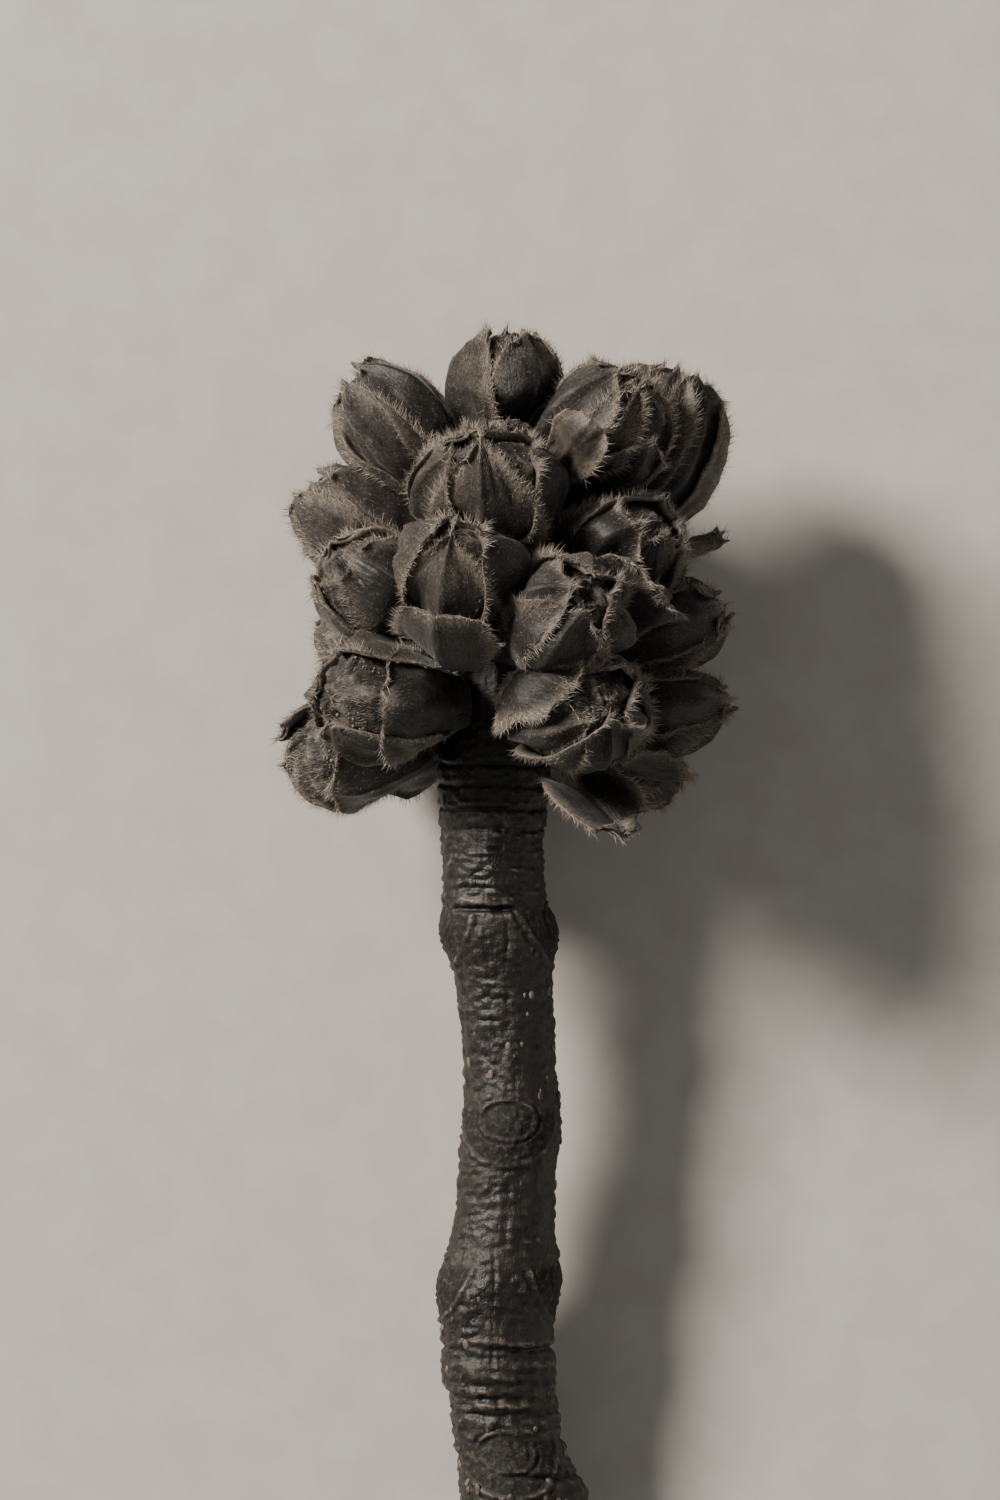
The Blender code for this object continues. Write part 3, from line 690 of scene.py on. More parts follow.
class BudForm:
    """A bud's axis from seat to tip and its skin round it, read from its solid."""

    def __init__(self, node):
        shape = merged(node)
        poles = sorted(shape.verts, key=lambda v: len(v.link_edges))[-2:]
        self.seat, self.tip = sorted((np.array(v.co) for v in poles), key=from_twig)
        areas = np.array([f.calc_area() for f in shape.faces])
        centres = np.array([f.calc_center_median() for f in shape.faces])
        middle = (self.seat + self.tip) / 2
        bow = (centres * areas[:, None]).sum(axis=0) / areas.sum() - middle
        straight = unit(self.tip - self.seat)
        self.bend = middle + 2 * (bow - np.dot(bow, straight) * straight)
        self.read_skin(BVHTree.FromBMesh(shape))
        shape.free()

    def axis(self, t):
        """Points on the axis, 0 at the seat and 1 at the tip, and the two directions square to it."""
        t = np.asarray(t, float)[..., None]
        points = self.seat * (1 - t) ** 2 + self.bend * 2 * t * (1 - t) + self.tip * t**2
        forward = unit((self.bend - self.seat) * (1 - t) + (self.tip - self.bend) * t)
        aside = np.cross(forward, ALONG)
        if np.linalg.norm(aside, axis=-1).min() < STANDS_UP:
            aside = np.cross(forward, -OUT)
        aside = unit(aside)
        return points, np.cross(aside, forward), aside, forward

    def read_skin(self, tree):
        """Measures the girth by rays and turns it into a skin of even rows, with its normals."""
        t = np.linspace(0.01, 0.985, FORM_ROWS)
        centre, up, aside, _ = self.axis(t)
        turns = np.arange(FORM_TURNS) * 2 * np.pi / FORM_TURNS
        ways = up[:, None] * np.cos(turns)[None, :, None] + aside[:, None] * np.sin(turns)[None, :, None]
        girth = ray_lengths(tree, np.broadcast_to(centre[:, None], ways.shape), ways)
        girth = np.where(np.isnan(girth), np.nanmean(girth, axis=1, keepdims=True), girth)
        girth = smoothed(girth, 2)
        self.girth = girth.max(axis=0).mean()
        t = np.append(t, 1.0)
        girth = np.concatenate([girth, np.zeros((1, FORM_TURNS))])
        length = np.linalg.norm(self.tip - self.seat)
        steps = np.hypot(np.diff(t) * length, np.diff(girth.mean(axis=1)))
        travelled = np.concatenate([[0.0], np.cumsum(steps)])
        self.length = travelled[-1]
        self.q_rows = np.linspace(0.0, 1.0, SKIN_ROWS)
        t_at = np.interp(self.q_rows, travelled / self.length, t)
        self.t_rows = t_at
        centre, up, aside, forward = self.axis(t_at)
        degrees = np.arange(SKIN_TURNS) * 360.0 / SKIN_TURNS
        thick = read_field(girth, t, *np.broadcast_arrays(t_at[:, None], degrees[None, :]))
        angle = np.radians(degrees)[None, :, None]
        ways = up[:, None] * np.cos(angle) + aside[:, None] * np.sin(angle)
        self.skin = centre[:, None] + ways * thick[..., None]
        onward = np.gradient(self.skin, axis=0)
        round_it = np.roll(self.skin, -1, axis=1) - np.roll(self.skin, 1, axis=1)
        normals = np.cross(round_it, onward)
        normals *= np.sign((normals * ways).sum(axis=-1, keepdims=True) + 1e-12)
        normals[-2:] = forward[-2:, None]
        self.normals = unit(smoothed(unit(normals), 2))
        self.forward = forward[-1]

    def at(self, q, turns, out, hold=0.0):
        """Points out (mm) from the skin. hold keeps a scale straight where the bud rounds to its tip."""
        q, turns, out = np.broadcast_arrays(q, turns, out)
        points = read_field(self.skin, self.q_rows, q, turns)
        normals = read_field(self.normals, self.q_rows, q, turns)
        shoulder = np.full_like(q, SHOULDER)
        edge = read_field(self.skin, self.q_rows, shoulder, turns)
        before = read_field(self.skin, self.q_rows, shoulder - 0.12, turns)
        onward = unit(unit(edge - before) + 0.8 * self.forward)
        past = np.maximum(0.0, q - SHOULDER)[..., None]
        held = hold * np.minimum(1.0, past / 0.02)
        points = points + held * (edge + onward * past * self.length - points)
        normals = unit(normals * (1 - held) + read_field(self.normals, self.q_rows, shoulder, turns) * held)
        return points + normals * out[..., None], normals


bud_nodes = sorted(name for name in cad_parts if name.startswith("bud_"))
forms = {name: BudForm(name) for name in bud_nodes}
print(len(forms), "buds,", round(min(f.length for f in forms.values()), 1), "to",
      round(max(f.length for f in forms.values()), 1), "mm over the skin from seat to tip")

# %% [markdown]
# Bud scales of this maple are leathery and nearly black-brown, matt with a faint bloom, with a pale woolly
# margin and grey felt towards the tip. Their colour mixes these from the values stored on the mesh. The
# felt's nap is about 0.05 mm, finer than a render shows, so it is drawn at 0.1 mm, twice as coarse. A dead
# scale has bleached and dried to something like paper, so it has the same nodes in paler tones.

# %% Bud scale
SCALE_DARK = "#0d0a09"
SCALE_BROWN = "#14100d"
SCALE_WORN = "#2c2520"
FELT_GREY = "#4c443b"
EDGE_GREY = "#81776b"
DRY_TONES = ("#221c17", "#40372f", "#5f554a", "#6f655a", "#83796d")


def scale_material(name, rough_mean, dark, brown, worn, felt_colour, edge_colour):
    material, tree, shader = new_material(name, Sheen_Weight=0.12, Sheen_Roughness=0.5)
    spot = add(tree, PLACE).outputs["Object"]
    along_it = add(tree, STORED, {"attribute_name": "grain"}).outputs["Vector"]
    edge = add(tree, STORED, {"attribute_name": "edge"}).outputs["Fac"]
    felt = add(tree, STORED, {"attribute_name": "felt"}).outputs["Fac"]
    blotches = add(tree, NOISE, Vector=spot, Scale=PER_METRE / 0.9, Detail=3.0, Roughness=0.55)
    nap = add(tree, NOISE, Vector=spot, Scale=PER_METRE / 0.1, Detail=3.0, Roughness=0.75)
    fibres = add(tree, NOISE, Vector=along_it, Scale=1.0 / 0.16, Detail=4.0, Roughness=0.55)
    mottled = add(tree, RANGE, STEPPED, Value=blotches, From_Min=0.32, From_Max=0.68)
    body = add(tree, MIX, COLOURS, _0=mottled, _6=linear(dark), _7=linear(brown))
    streaks = add(tree, RANGE, STEPPED, Value=fibres, From_Min=0.56, From_Max=0.85)
    body = add(tree, MIX, COLOURS, _0=streaks, _6=body, _7=linear(worn))
    stubble = add(tree, RANGE, STEPPED, Value=nap, From_Min=0.54, From_Max=0.7)
    short_hairs = add(tree, MATH, TIMES, _0=stubble, _1=0.38)
    body = add(tree, MIX, COLOURS, _0=short_hairs, _6=body, _7=linear(edge_colour))
    patches = add(tree, RANGE, STEPPED, Value=blotches, From_Min=0.2, From_Max=0.62)
    patchy = add(tree, MATH, TIMES, _0=felt, _1=patches)
    high_nap = add(tree, RANGE, STEPPED, Value=nap, From_Min=0.3, From_Max=0.62)
    felted = add(tree, MATH, TIMES_HELD, _0=patchy, _1=high_nap)
    body = add(tree, MIX, COLOURS, _0=felted, _6=body, _7=linear(felt_colour))
    fringe = add(tree, RANGE, STEPPED, Value=nap, From_Min=0.25, From_Max=0.6)
    lit_edge = add(tree, MATH, TIMES_HELD, _0=edge, _1=fringe)
    margin = add(tree, MATH, TIMES, _0=lit_edge, _1=0.85)
    body = add(tree, MIX, COLOURS, _0=margin, _6=body, _7=linear(edge_colour))
    dull = add(tree, RANGE, Value=felt, To_Min=rough_mean - 0.12, To_Max=rough_mean + 0.25)
    fibrous = add(tree, BUMP, Height=fibres, Distance=0.05 * MM, Strength=0.8)
    felty = add(tree, BUMP, Height=nap, Distance=0.03 * MM, Strength=0.6, Normal=fibrous)
    feed(tree, shader, Base_Color=body, Roughness=dull, Normal=felty)
    return material


LEATHERY_TONES = (SCALE_DARK, SCALE_BROWN, SCALE_WORN, FELT_GREY, EDGE_GREY)
BUD_SCALE = scale_material("leathery_bud_scale", 0.62, *LEATHERY_TONES)
DRY_SCALE = scale_material("papery_dry_scale", 0.65, *DRY_TONES)

# %% [markdown]
# One scale is a sheet with two skins. Its outline is a rule of how far along it a row is; its height above
# the bud adds up a keel down its back, hollows beside the keel, a margin that lifts away from the bud, and
# noise. Values stored on its points say where the margin and the felt are and which way the hairs lie.

# %% One bud scale
Scale = namedtuple("Scale", "side half_turn start reach blunt hold layer felt seed")
SCALE_ROWS = 30
SCALE_COLUMNS = 29
LAYERS = (0.1, -0.02, -0.13)  # mm out from the skin, for a scale outside, between or inside
KEEL_HEIGHT = 0.14
HOLLOW_DEPTH = 0.15
RIM_HEIGHT = 0.1
MIDDLE_THICKNESS = 0.16
MARGIN_THICKNESS = 0.1
MARGIN_WIDTH = 0.32  # mm over which the margin thins and turns woolly


def closed_sheet(outer, inner, values):
    """Two skins of the same rows and columns, joined round their rims."""
    rows, columns = outer.shape[:2]
    count = rows * columns
    index = np.arange(count).reshape(rows, columns)
    rim = np.concatenate([index[0], index[1:, -1], index[-1, -2::-1], index[-2:0:-1, 0]])
    after = np.roll(rim, -1)
    quads = [grid_quads(rows, columns), count + grid_quads(rows, columns)[:, ::-1]]
    quads.append(np.stack([rim, rim + count, after + count, after], axis=-1))
    both = {}
    for name, value in values.items():
        flat = value.reshape(count, -1) if value.ndim == 3 else value.reshape(count)
        inside = flat * (0.0 if name in ("felt", "woolly") else 1.0)
        both[name] = np.concatenate([flat, inside])
    points = np.concatenate([outer.reshape(-1, 3), inner.reshape(-1, 3)])
    return Sheet(points, np.concatenate(quads), np.zeros((0, 3), int), both)


# %% [markdown]
# What grows where follows from the same outline: wool along the margin, felt in patches, and the way the
# hairs are combed. The material and the hairs both read it.

# %% Values on a scale
def scale_values(outer, normals, columns, v, half_width, length, felt, seed):
    """What the material and the hairs need to know about each point of a scale."""
    from_side = (1.0 - np.abs(columns)) * half_width
    from_top = (1.0 - v) * length
    edge = bump(np.minimum(from_side, from_top), MARGIN_WIDTH)
    tipward = unit(np.gradient(outer, axis=0))
    across = unit(np.gradient(outer, axis=1)) * np.sign(columns)[..., None]
    at_side = bump(from_side, MARGIN_WIDTH)[..., None]
    comb = unit(0.9 * tipward + 0.9 * across * at_side + 0.45 * normals)
    patches = ease(0.55 + 0.9 * noise(outer, 0.8, seed + 5))
    felted = np.clip(felt * (0.25 + 0.75 * ease((v - 0.35) / 0.5)) * (0.4 + 0.9 * patches), 0.0, 1.0)
    visible = ease((v - 0.12) / 0.2)
    woolly = edge * visible * (0.55 + 0.65 * patches) + 0.3 * felted * visible + 0.03
    grain = (columns * half_width, 0.22 * v * length, np.full_like(edge, seed * 1.7))
    return {
        "edge": edge * visible,
        "felt": felted,
        "woolly": np.clip(woolly, 0.0, 1.0),
        "hair_length": 0.13 + 0.22 * edge + 0.04 * felted,
        "comb": comb,
        "studs": np.zeros_like(edge),
        "grain": np.stack(grain, axis=-1),
    }


# %% [markdown]
# The sheet is laid on the bud by its form, so a scale bends with the bud and shows what presses on it.

# %% Laying a scale on a bud
def scale_sheet(form, scale):
    """One scale laid on a bud: v runs from its foot to its end, and c from its left side to its right."""
    v = np.linspace(0.0, 1.0, SCALE_ROWS)[:, None]
    c = np.linspace(-1.0, 1.0, SCALE_COLUMNS)[None, :]
    v, c = np.broadcast_arrays(v, c)
    narrowing = np.sqrt(np.maximum(0.0, 1.0 - v ** (2.0 + 3.0 * scale.blunt)))
    outline = (0.75 + 0.25 * ease(v / 0.4)) * (0.65 * scale.blunt + (1.0 - 0.65 * scale.blunt) * narrowing)
    torn = 0.08 * noise(np.stack([c * 3 + scale.seed, v * 6, v * 0], axis=-1), 1.0, scale.seed)
    half = scale.half_turn * np.maximum(outline, 0.05) * (1.0 + torn * np.abs(c))
    turns = scale.side + half * c
    first, last = np.interp((scale.start, scale.reach), form.t_rows, form.q_rows)
    arch = 1.0 - 0.08 * c**2 * v**3 + 0.4 * torn * v**4
    q = first + (last - first) * v * arch
    size = form.girth / 2.2
    rounding = ease(q / 0.3)
    length = (last - first) * form.length
    half_width = np.radians(half) * form.girth * np.sqrt(np.maximum(0.05, 1.0 - q**3))
    from_side = (1.0 - np.abs(c)) * half_width
    from_rim = np.minimum(from_side, (1.0 - v) * length)
    out = LAYERS[scale.layer] - HOLLOW_DEPTH * size * np.sin(np.pi * np.abs(c)) * rounding
    out = out + KEEL_HEIGHT * bump(c, 0.1) * rounding * ease((1.0 - v) / 0.2)
    out = out + RIM_HEIGHT * bump(from_rim, 0.17) * ease(v / 0.3)
    rest, _ = form.at(q, turns, out, scale.hold)
    out = out + 0.1 * noise(rest, 1.2, scale.seed) + 0.07 * noise(rest, 0.42, scale.seed + 1)
    wrinkles = np.stack([turns * 0.14, q * 2.0, np.full_like(q, scale.seed)], axis=-1)
    out = out + 0.03 * rough(wrinkles, 1.0, scale.seed + 2)
    pleats = np.stack([turns * 0.09, q * 1.2, np.full_like(q, scale.seed)], axis=-1)
    out = out + 0.16 * (scale.felt - 0.1) * (0.5 - np.abs(noise(pleats, 1.0, scale.seed + 3)))
    outer, normals = form.at(q, turns, out, scale.hold)
    thin = MARGIN_THICKNESS + (MIDDLE_THICKNESS - MARGIN_THICKNESS) * (1.0 - bump(from_side, 0.3))
    inner, _ = form.at(q, turns, out - thin, scale.hold)
    values = scale_values(outer, normals, c, v, half_width, length, scale.felt, scale.seed)
    return closed_sheet(outer, inner, values)


# %% [markdown]
# A closed bud is a felted, crusted body that two or three pairs of scales wrap. The scales that are seen
# best each have a row in this table: the side of the bud they stand on (0 faces the twig's end, and the
# angle runs on to the left for a bud that faces forward), half their width in degrees, where along the bud
# they start and end, how blunt their end is, how straight they are held past the shoulder, their layer, and
# their felt. Before the rows come the bud's share of crust, and how open the hole at its tip is.

# %% The buds' characters
BudLook = namedtuple("BudLook", "crust hole scales")
LOOKS = {
    "bud_top_centre": BudLook(0.7, 0.0, (
        (20, 75, 0.05, 0.98, 0.5, 0.12, 2, 0.3),
        (215, 60, 0.05, 0.99, 0.6, 0.1, 1, 0.0),
        (100, 70, 0.05, 0.95, 0.8, 0.0, 0, 1.0),
        (304, 76, 0.02, 0.92, 0.0, 0.0, 0, 0.2),
    )),
    "bud_top_left": BudLook(0.4, 0.0, (
        (60, 75, 0.05, 0.98, 0.5, 0.06, 2, 0.4),
        (235, 46, 0.05, 0.98, 0.8, 0.06, 1, 0.8),
        (322, 62, 0.05, 0.99, 0.5, 0.06, 0, 0.0),
        (150, 76, 0.02, 0.88, 0.5, 0.0, 0, 0.3),
    )),
    "bud_left_upper": BudLook(0.7, 0.0, (
        (60, 70, 0.05, 0.98, 0.4, 0.06, 2, 0.3),
        (235, 58, 0.05, 0.98, 0.5, 0.06, 1, 1.0),
        (150, 65, 0.02, 0.81, 0.5, 0.00, 0, 0.3),
        (335, 64, 0.02, 0.93, 0.4, 0.06, 0, 0.3),
    )),
    "bud_left_front": BudLook(1.0, 0.0, (
        (60, 80, 0.05, 0.94, 0.5, 0.06, 1, 0.5),
        (262, 64, 0.02, 0.94, 0.7, 0.00, 1, 0.0),
        (140, 64, 0.0, 0.90, 0.3, 0.00, 0, 0.2),
    )),
    "bud_centre_upper": BudLook(0.8, 0.0, (
        (0, 80, 0.05, 0.99, 0.5, 0.06, 1, 0.6),
        (62, 40, 0.05, 0.98, 0.5, 0.06, 1, 0.7),
        (110, 46, 0.05, 0.97, 0.5, 0.06, 0, 0.5),
        (182, 50, 0.05, 1.0, 0.8, 0.0, 0, 1.0),
        (275, 62, 0.02, 0.9, 0.2, 0.06, 0, 0.1),
    )),
    "bud_centre_front": BudLook(0.6, 0.0, (
        (0, 60, 0.05, 0.95, 0.5, 0.0, 1, 0.3),
        (170, 58, 0.05, 1.0, 0.9, 0.0, 1, 0.6),
        (62, 66, 0.05, 0.98, 0.7, 0.0, 0, 1.0),
        (275, 76, 0.02, 0.98, 0.2, 0.0, 0, 0.1),
    )),
    "bud_centre_right": BudLook(0.5, 0.85, (
        (340, 66, 0.05, 0.97, 0.9, 0.0, 1, 0.9),
        (80, 58, 0.05, 0.98, 0.9, 0.0, 1, 0.7),
        (245, 60, 0.05, 0.97, 0.9, 0.0, 1, 0.7),
        (150, 62, 0.02, 0.96, 0.8, 0.0, 0, 0.1),
    )),
    "bud_right_front": BudLook(0.5, 0.0, (
        (170, 55, 0.05, 0.99, 0.8, 0.0, 2, 0.1),
        (340, 100, 0.05, 0.98, 0.5, 0.25, 1, 0.5),
        (95, 60, 0.02, 0.94, 0.5, 0.0, 0, 0.2),
        (245, 60, 0.02, 0.95, 0.5, 0.0, 0, 0.2),
    )),
    "bud_right_middle": BudLook(0.4, 0.0, (
        (270, 80, 0.05, 0.99, 0.3, 0.00, 2, 0.6),
        (180, 60, 0.05, 0.97, 0.4, 0.00, 1, 0.3),
        (0, 60, 0.05, 0.97, 0.4, 0.00, 1, 0.3),
        (90, 82, 0.02, 0.93, 0.4, 0.06, 0, 0.1),
    )),
    "bud_right_low": BudLook(0.4, 0.0, (
        (270, 80, 0.05, 0.99, 0.3, 0.00, 2, 0.6),
        (180, 60, 0.05, 0.97, 0.4, 0.00, 1, 0.3),
        (0, 60, 0.05, 0.97, 0.4, 0.00, 1, 0.3),
        (88, 78, 0.02, 0.95, 0.4, 0.06, 0, 0.1),
    )),
    "bud_low_right_front": BudLook(0.9, 0.0, (
        (262, 50, 0.05, 0.96, 0.6, 0.0, 1, 0.4),
        (115, 60, 0.05, 0.96, 0.5, 0.0, 2, 0.4),
        (62, 42, 0.05, 0.92, 0.7, 0.0, 0, 0.3),
        (330, 98, 0.02, 0.88, 0.5, 0.3, 0, 0.4),
        (195, 66, 0.02, 1.0, 0.8, 0.0, 0, 0.05),
    )),
    "bud_low_left_front": BudLook(0.8, 0.0, (
        (90, 60, 0.05, 0.98, 0.5, 0.00, 1, 0.9),
        (180, 60, 0.05, 0.97, 0.4, 0.00, 1, 0.6),
        (0, 62, 0.02, 0.86, 0.5, 0.06, 0, 0.4),
        (265, 74, 0.0, 0.80, 0.6, 0.09, 0, 0.0),
    )),
    "bud_low_left": BudLook(1.0, 0.0, (
        (105, 60, 0.05, 0.95, 0.5, 0.00, 1, 0.6),
        (10, 62, 0.02, 0.96, 0.3, 0.06, 0, 0.4),
        (230, 72, 0.0, 0.73, 0.6, 0.09, 0, 0.1),
    )),
    "bud_top_right_front": BudLook(0.9, 0.0, (
        (330, 60, 0.05, 0.98, 0.4, 0.06, 2, 0.2),
        (130, 35, 0.05, 0.98, 0.7, 0.06, 2, 0.9),
        (60, 72, 0.02, 0.95, 0.4, 0.06, 1, 0.3),
        (250, 62, 0.02, 0.97, 0.4, 0.06, 1, 0.1),
        (178, 50, 0.0, 0.76, 0.5, 0.09, 0, 0.1),
    )),
    "bud_top_right_back": BudLook(0.3, 0.0, (
        (350, 60, 0.05, 0.97, 0.5, 0.12, 2, 0.2),
        (225, 48, 0.05, 0.99, 0.8, 0.18, 2, 0.2),
        (60, 70, 0.05, 0.97, 0.5, 0.12, 1, 0.2),
        (165, 42, 0.02, 0.98, 0.6, 0.18, 1, 0.2),
        (285, 48, 0.02, 0.98, 0.6, 0.18, 1, 0.2),
    )),
}
PLAIN_PAIRS = (  # half turn, start, reach, blunt, hold, layer, felt
    (80, 0.2, 0.98, 0.4, 0.0, 2, 0.9),
    (86, 0.08, 0.9, 0.4, 0.15, 1, 0.5),
    (92, 0.02, 0.7, 0.4, 0.0, 0, 0.2),
)
CORE_ROWS = 44
CORE_TURNS = 72
CORE_DEPTH = 0.22  # mm below the skin
SCALE_SWING = 4  # degrees that a scale may stand off its place


# %% [markdown]
# Buds without a row of their own get plain pairs of scales, each pair a quarter turn from the one before.
# Under the scales of every bud is a felted core, with a crust where the bud has one.

# %% Plain buds and the core
def look_of(node, number):
    """The bud's row of the table, or the plain pairs, each crossing the one before."""
    if node in LOOKS:
        return LOOKS[node]
    roll = 37 * number % 90
    pairs = [(roll + 90 * k + half, *pair) for k, pair in enumerate(PLAIN_PAIRS) for half in (0, 180)]
    return BudLook(0.6, 0.0, pairs)


def core_sheet(form, look, seed):
    """The felted body under the scales, closed at both ends, with a crust of clotted hair at its tip."""
    q = np.linspace(0.0, 0.985, CORE_ROWS)[:, None]
    turns = np.arange(CORE_TURNS)[None, :] * 360.0 / CORE_TURNS
    q, turns = np.broadcast_arrays(q, turns)
    points, _ = form.at(q, turns, -CORE_DEPTH * ease(q / 0.2))
    crust = look.crust * ease((q - 0.4) / 0.25)
    beads = np.maximum(0.0, noise(points, 0.3, seed)) + 0.5 * np.maximum(0.0, noise(points, 0.17, seed + 1))
    folds = np.stack([np.sin(np.radians(turns)) * 1.6, np.cos(np.radians(turns)) * 1.6, q * 1.3], axis=-1)
    folded = np.abs(noise(folds + seed, 0.7, seed + 2)) + 0.6 * np.abs(noise(points, 0.8, seed + 3))
    out = -CORE_DEPTH * ease(q / 0.2) + 0.2 * crust * beads - 0.3 * folded * ease((q - 0.3) / 0.3)
    from_tip = (1.0 - q) * form.length
    ring = 0.3 * bump(from_tip - 0.55, 0.22) - bump(from_tip, 0.34)
    out = out + look.hole * ring
    outer, normals = form.at(q, turns, out)
    tip = form.at(np.array(0.995), np.array(0.0), np.array(out[-1].mean()))[0]
    ends = np.stack([outer[0].mean(axis=0), tip])
    count, around = CORE_ROWS * CORE_TURNS, np.arange(CORE_TURNS)
    after = (around + 1) % CORE_TURNS
    top = count - CORE_TURNS
    seat_fan = np.stack([around, after, np.full(CORE_TURNS, count)], axis=-1)
    top_fan = np.stack([top + after, top + around, np.full(CORE_TURNS, count + 1)], axis=-1)
    tipward = unit(np.gradient(outer, axis=0))
    fields = {
        "edge": crust * ease(beads / 0.45 - 0.3) * 0.6,
        "felt": crust * ease(1.2 - 3.0 * folded) * 0.6,
        "woolly": 0.15 + 0.5 * crust * ease(0.3 + 1.6 * noise(points, 0.7, seed + 4)),
        "hair_length": 0.12 + 0.1 * crust,
        "comb": unit(0.8 * tipward + 0.6 * normals),
        "studs": crust * ease(0.3 + 1.5 * noise(points, 0.9, seed + 5)),
        "grain": np.stack([np.radians(turns) * 2.0, q * 2.0, np.full_like(q, seed)], axis=-1),
    }
    values = {}
    for name, field in fields.items():
        flat = field.reshape(count, *field.shape[2:])
        values[name] = np.concatenate([flat, flat[:1], flat[-1:]])
    all_points = np.concatenate([outer.reshape(-1, 3), ends])
    quads = grid_quads(CORE_ROWS, CORE_TURNS, closed=True)
    return Sheet(all_points, quads, np.concatenate([seat_fan, top_fan]), values)


# %% [markdown]
# A bud is its core and its scales joined into one sheet, each scale swung a little off its place.

# %% The buds' pieces
def bud_sheet(node, number):
    """A bud's core and all its scales as one sheet."""
    form, look = forms[node], look_of(node, number)
    random = np.random.default_rng(500 + number)
    sheets = [core_sheet(form, look, 900 + number)]
    for side, half_turn, start, reach, blunt, hold, layer, felt in look.scales:
        turned = side + random.uniform(-SCALE_SWING, SCALE_SWING)
        seed = int(random.integers(1000))
        scale = Scale(turned, half_turn, start, reach, blunt, hold, layer, felt, seed)
        sheets.append(scale_sheet(form, scale))
    return joined(sheets)


bud_pieces = {}
for number, node in enumerate(bud_nodes):
    bud_pieces[node] = write_mesh(node.replace("bud_", "scales_of_"), bud_sheet(node, number), [BUD_SCALE])
print("points in all buds:", sum(len(piece.data.vertices) for piece in bud_pieces.values()))


# %% [markdown]
# Seven scales stand away from their buds: some have sprung open, one hangs down like a small boat, and one
# at the top right is dry, pale and torn. Each has its own thin solid. Rays sent in from outside find that
# solid's outer side on a grid round the bud's axis, and the fine sheet is built on it.

# %% Loose scales
LooseScale = namedtuple("LooseScale", "node bud side half_turn start end blunt cup dry felt")
LOOSE_SCALES = (
    LooseScale("scale_hanging_low_right", "bud_low_right_front", 201, 30, 0.1, 0.66, 0.0, 0.45, 0, 0.3),
    LooseScale("scale_below_centre_front", "bud_centre_front", 172, 37, 0.36, 0.84, 0.62, 0.0, 0, 0.2),
    LooseScale("scale_below_right_front", "bud_right_front", 150, 52, 0.3, 0.9, 0.35, 0.0, 0, 0.2),
    LooseScale("scale_front_of_top", "bud_top_centre", 180, 48, 0.06, 0.42, 0.1, 0.0, 0, 0.2),
    LooseScale("scale_torn_top_right", "bud_top_right_front", 108, 23, 0.25, 0.78, 0.7, 0.1, 1, 0.0),
    LooseScale("scale_stray_right", "bud_right_back", 52, 22, 0.45, 1.25, 0.4, 0.2, 0, 0.3),
    LooseScale("scale_below_right_low", "bud_right_low", 165, 42, 0.3, 0.68, 0.5, 0.0, 0, 0.2),
)
LOOSE_ROWS = 34
LOOSE_COLUMNS = 25
LOOSE_THICKNESS = 0.14
RAYS_FROM = 9.0  # mm out from the bud's axis
RELAX_ROUNDS = 9


def filled(field):
    """A field whose gaps take the average of what is next to them, until none is left."""
    rows, columns = field.shape
    while np.isnan(field).any():
        padded = np.pad(field, 1, constant_values=np.nan)
        windows = [padded[i : i + rows, j : j + columns] for i in (0, 1, 2) for j in (0, 1, 2)]
        counts = sum(~np.isnan(window) for window in windows)
        sums = sum(np.nan_to_num(window) for window in windows)
        near = np.where(counts > 0, sums / np.maximum(counts, 1), np.nan)
        field = np.where(np.isnan(field), near, field)
    return field


def relaxed(field, rounds):
    """A field averaged with its neighbours, with open ends."""
    for _ in range(rounds):
        padded = np.pad(field, 1, mode="edge")
        beside = padded[:-2, 1:-1] + padded[2:, 1:-1] + padded[1:-1, :-2] + padded[1:-1, 2:]
        field = (beside + 4 * field) / 8
    return field


# %% [markdown]
# Rays miss near a solid's edges. Those places are filled from their neighbours and the whole is relaxed
# before the sheet is built on it.

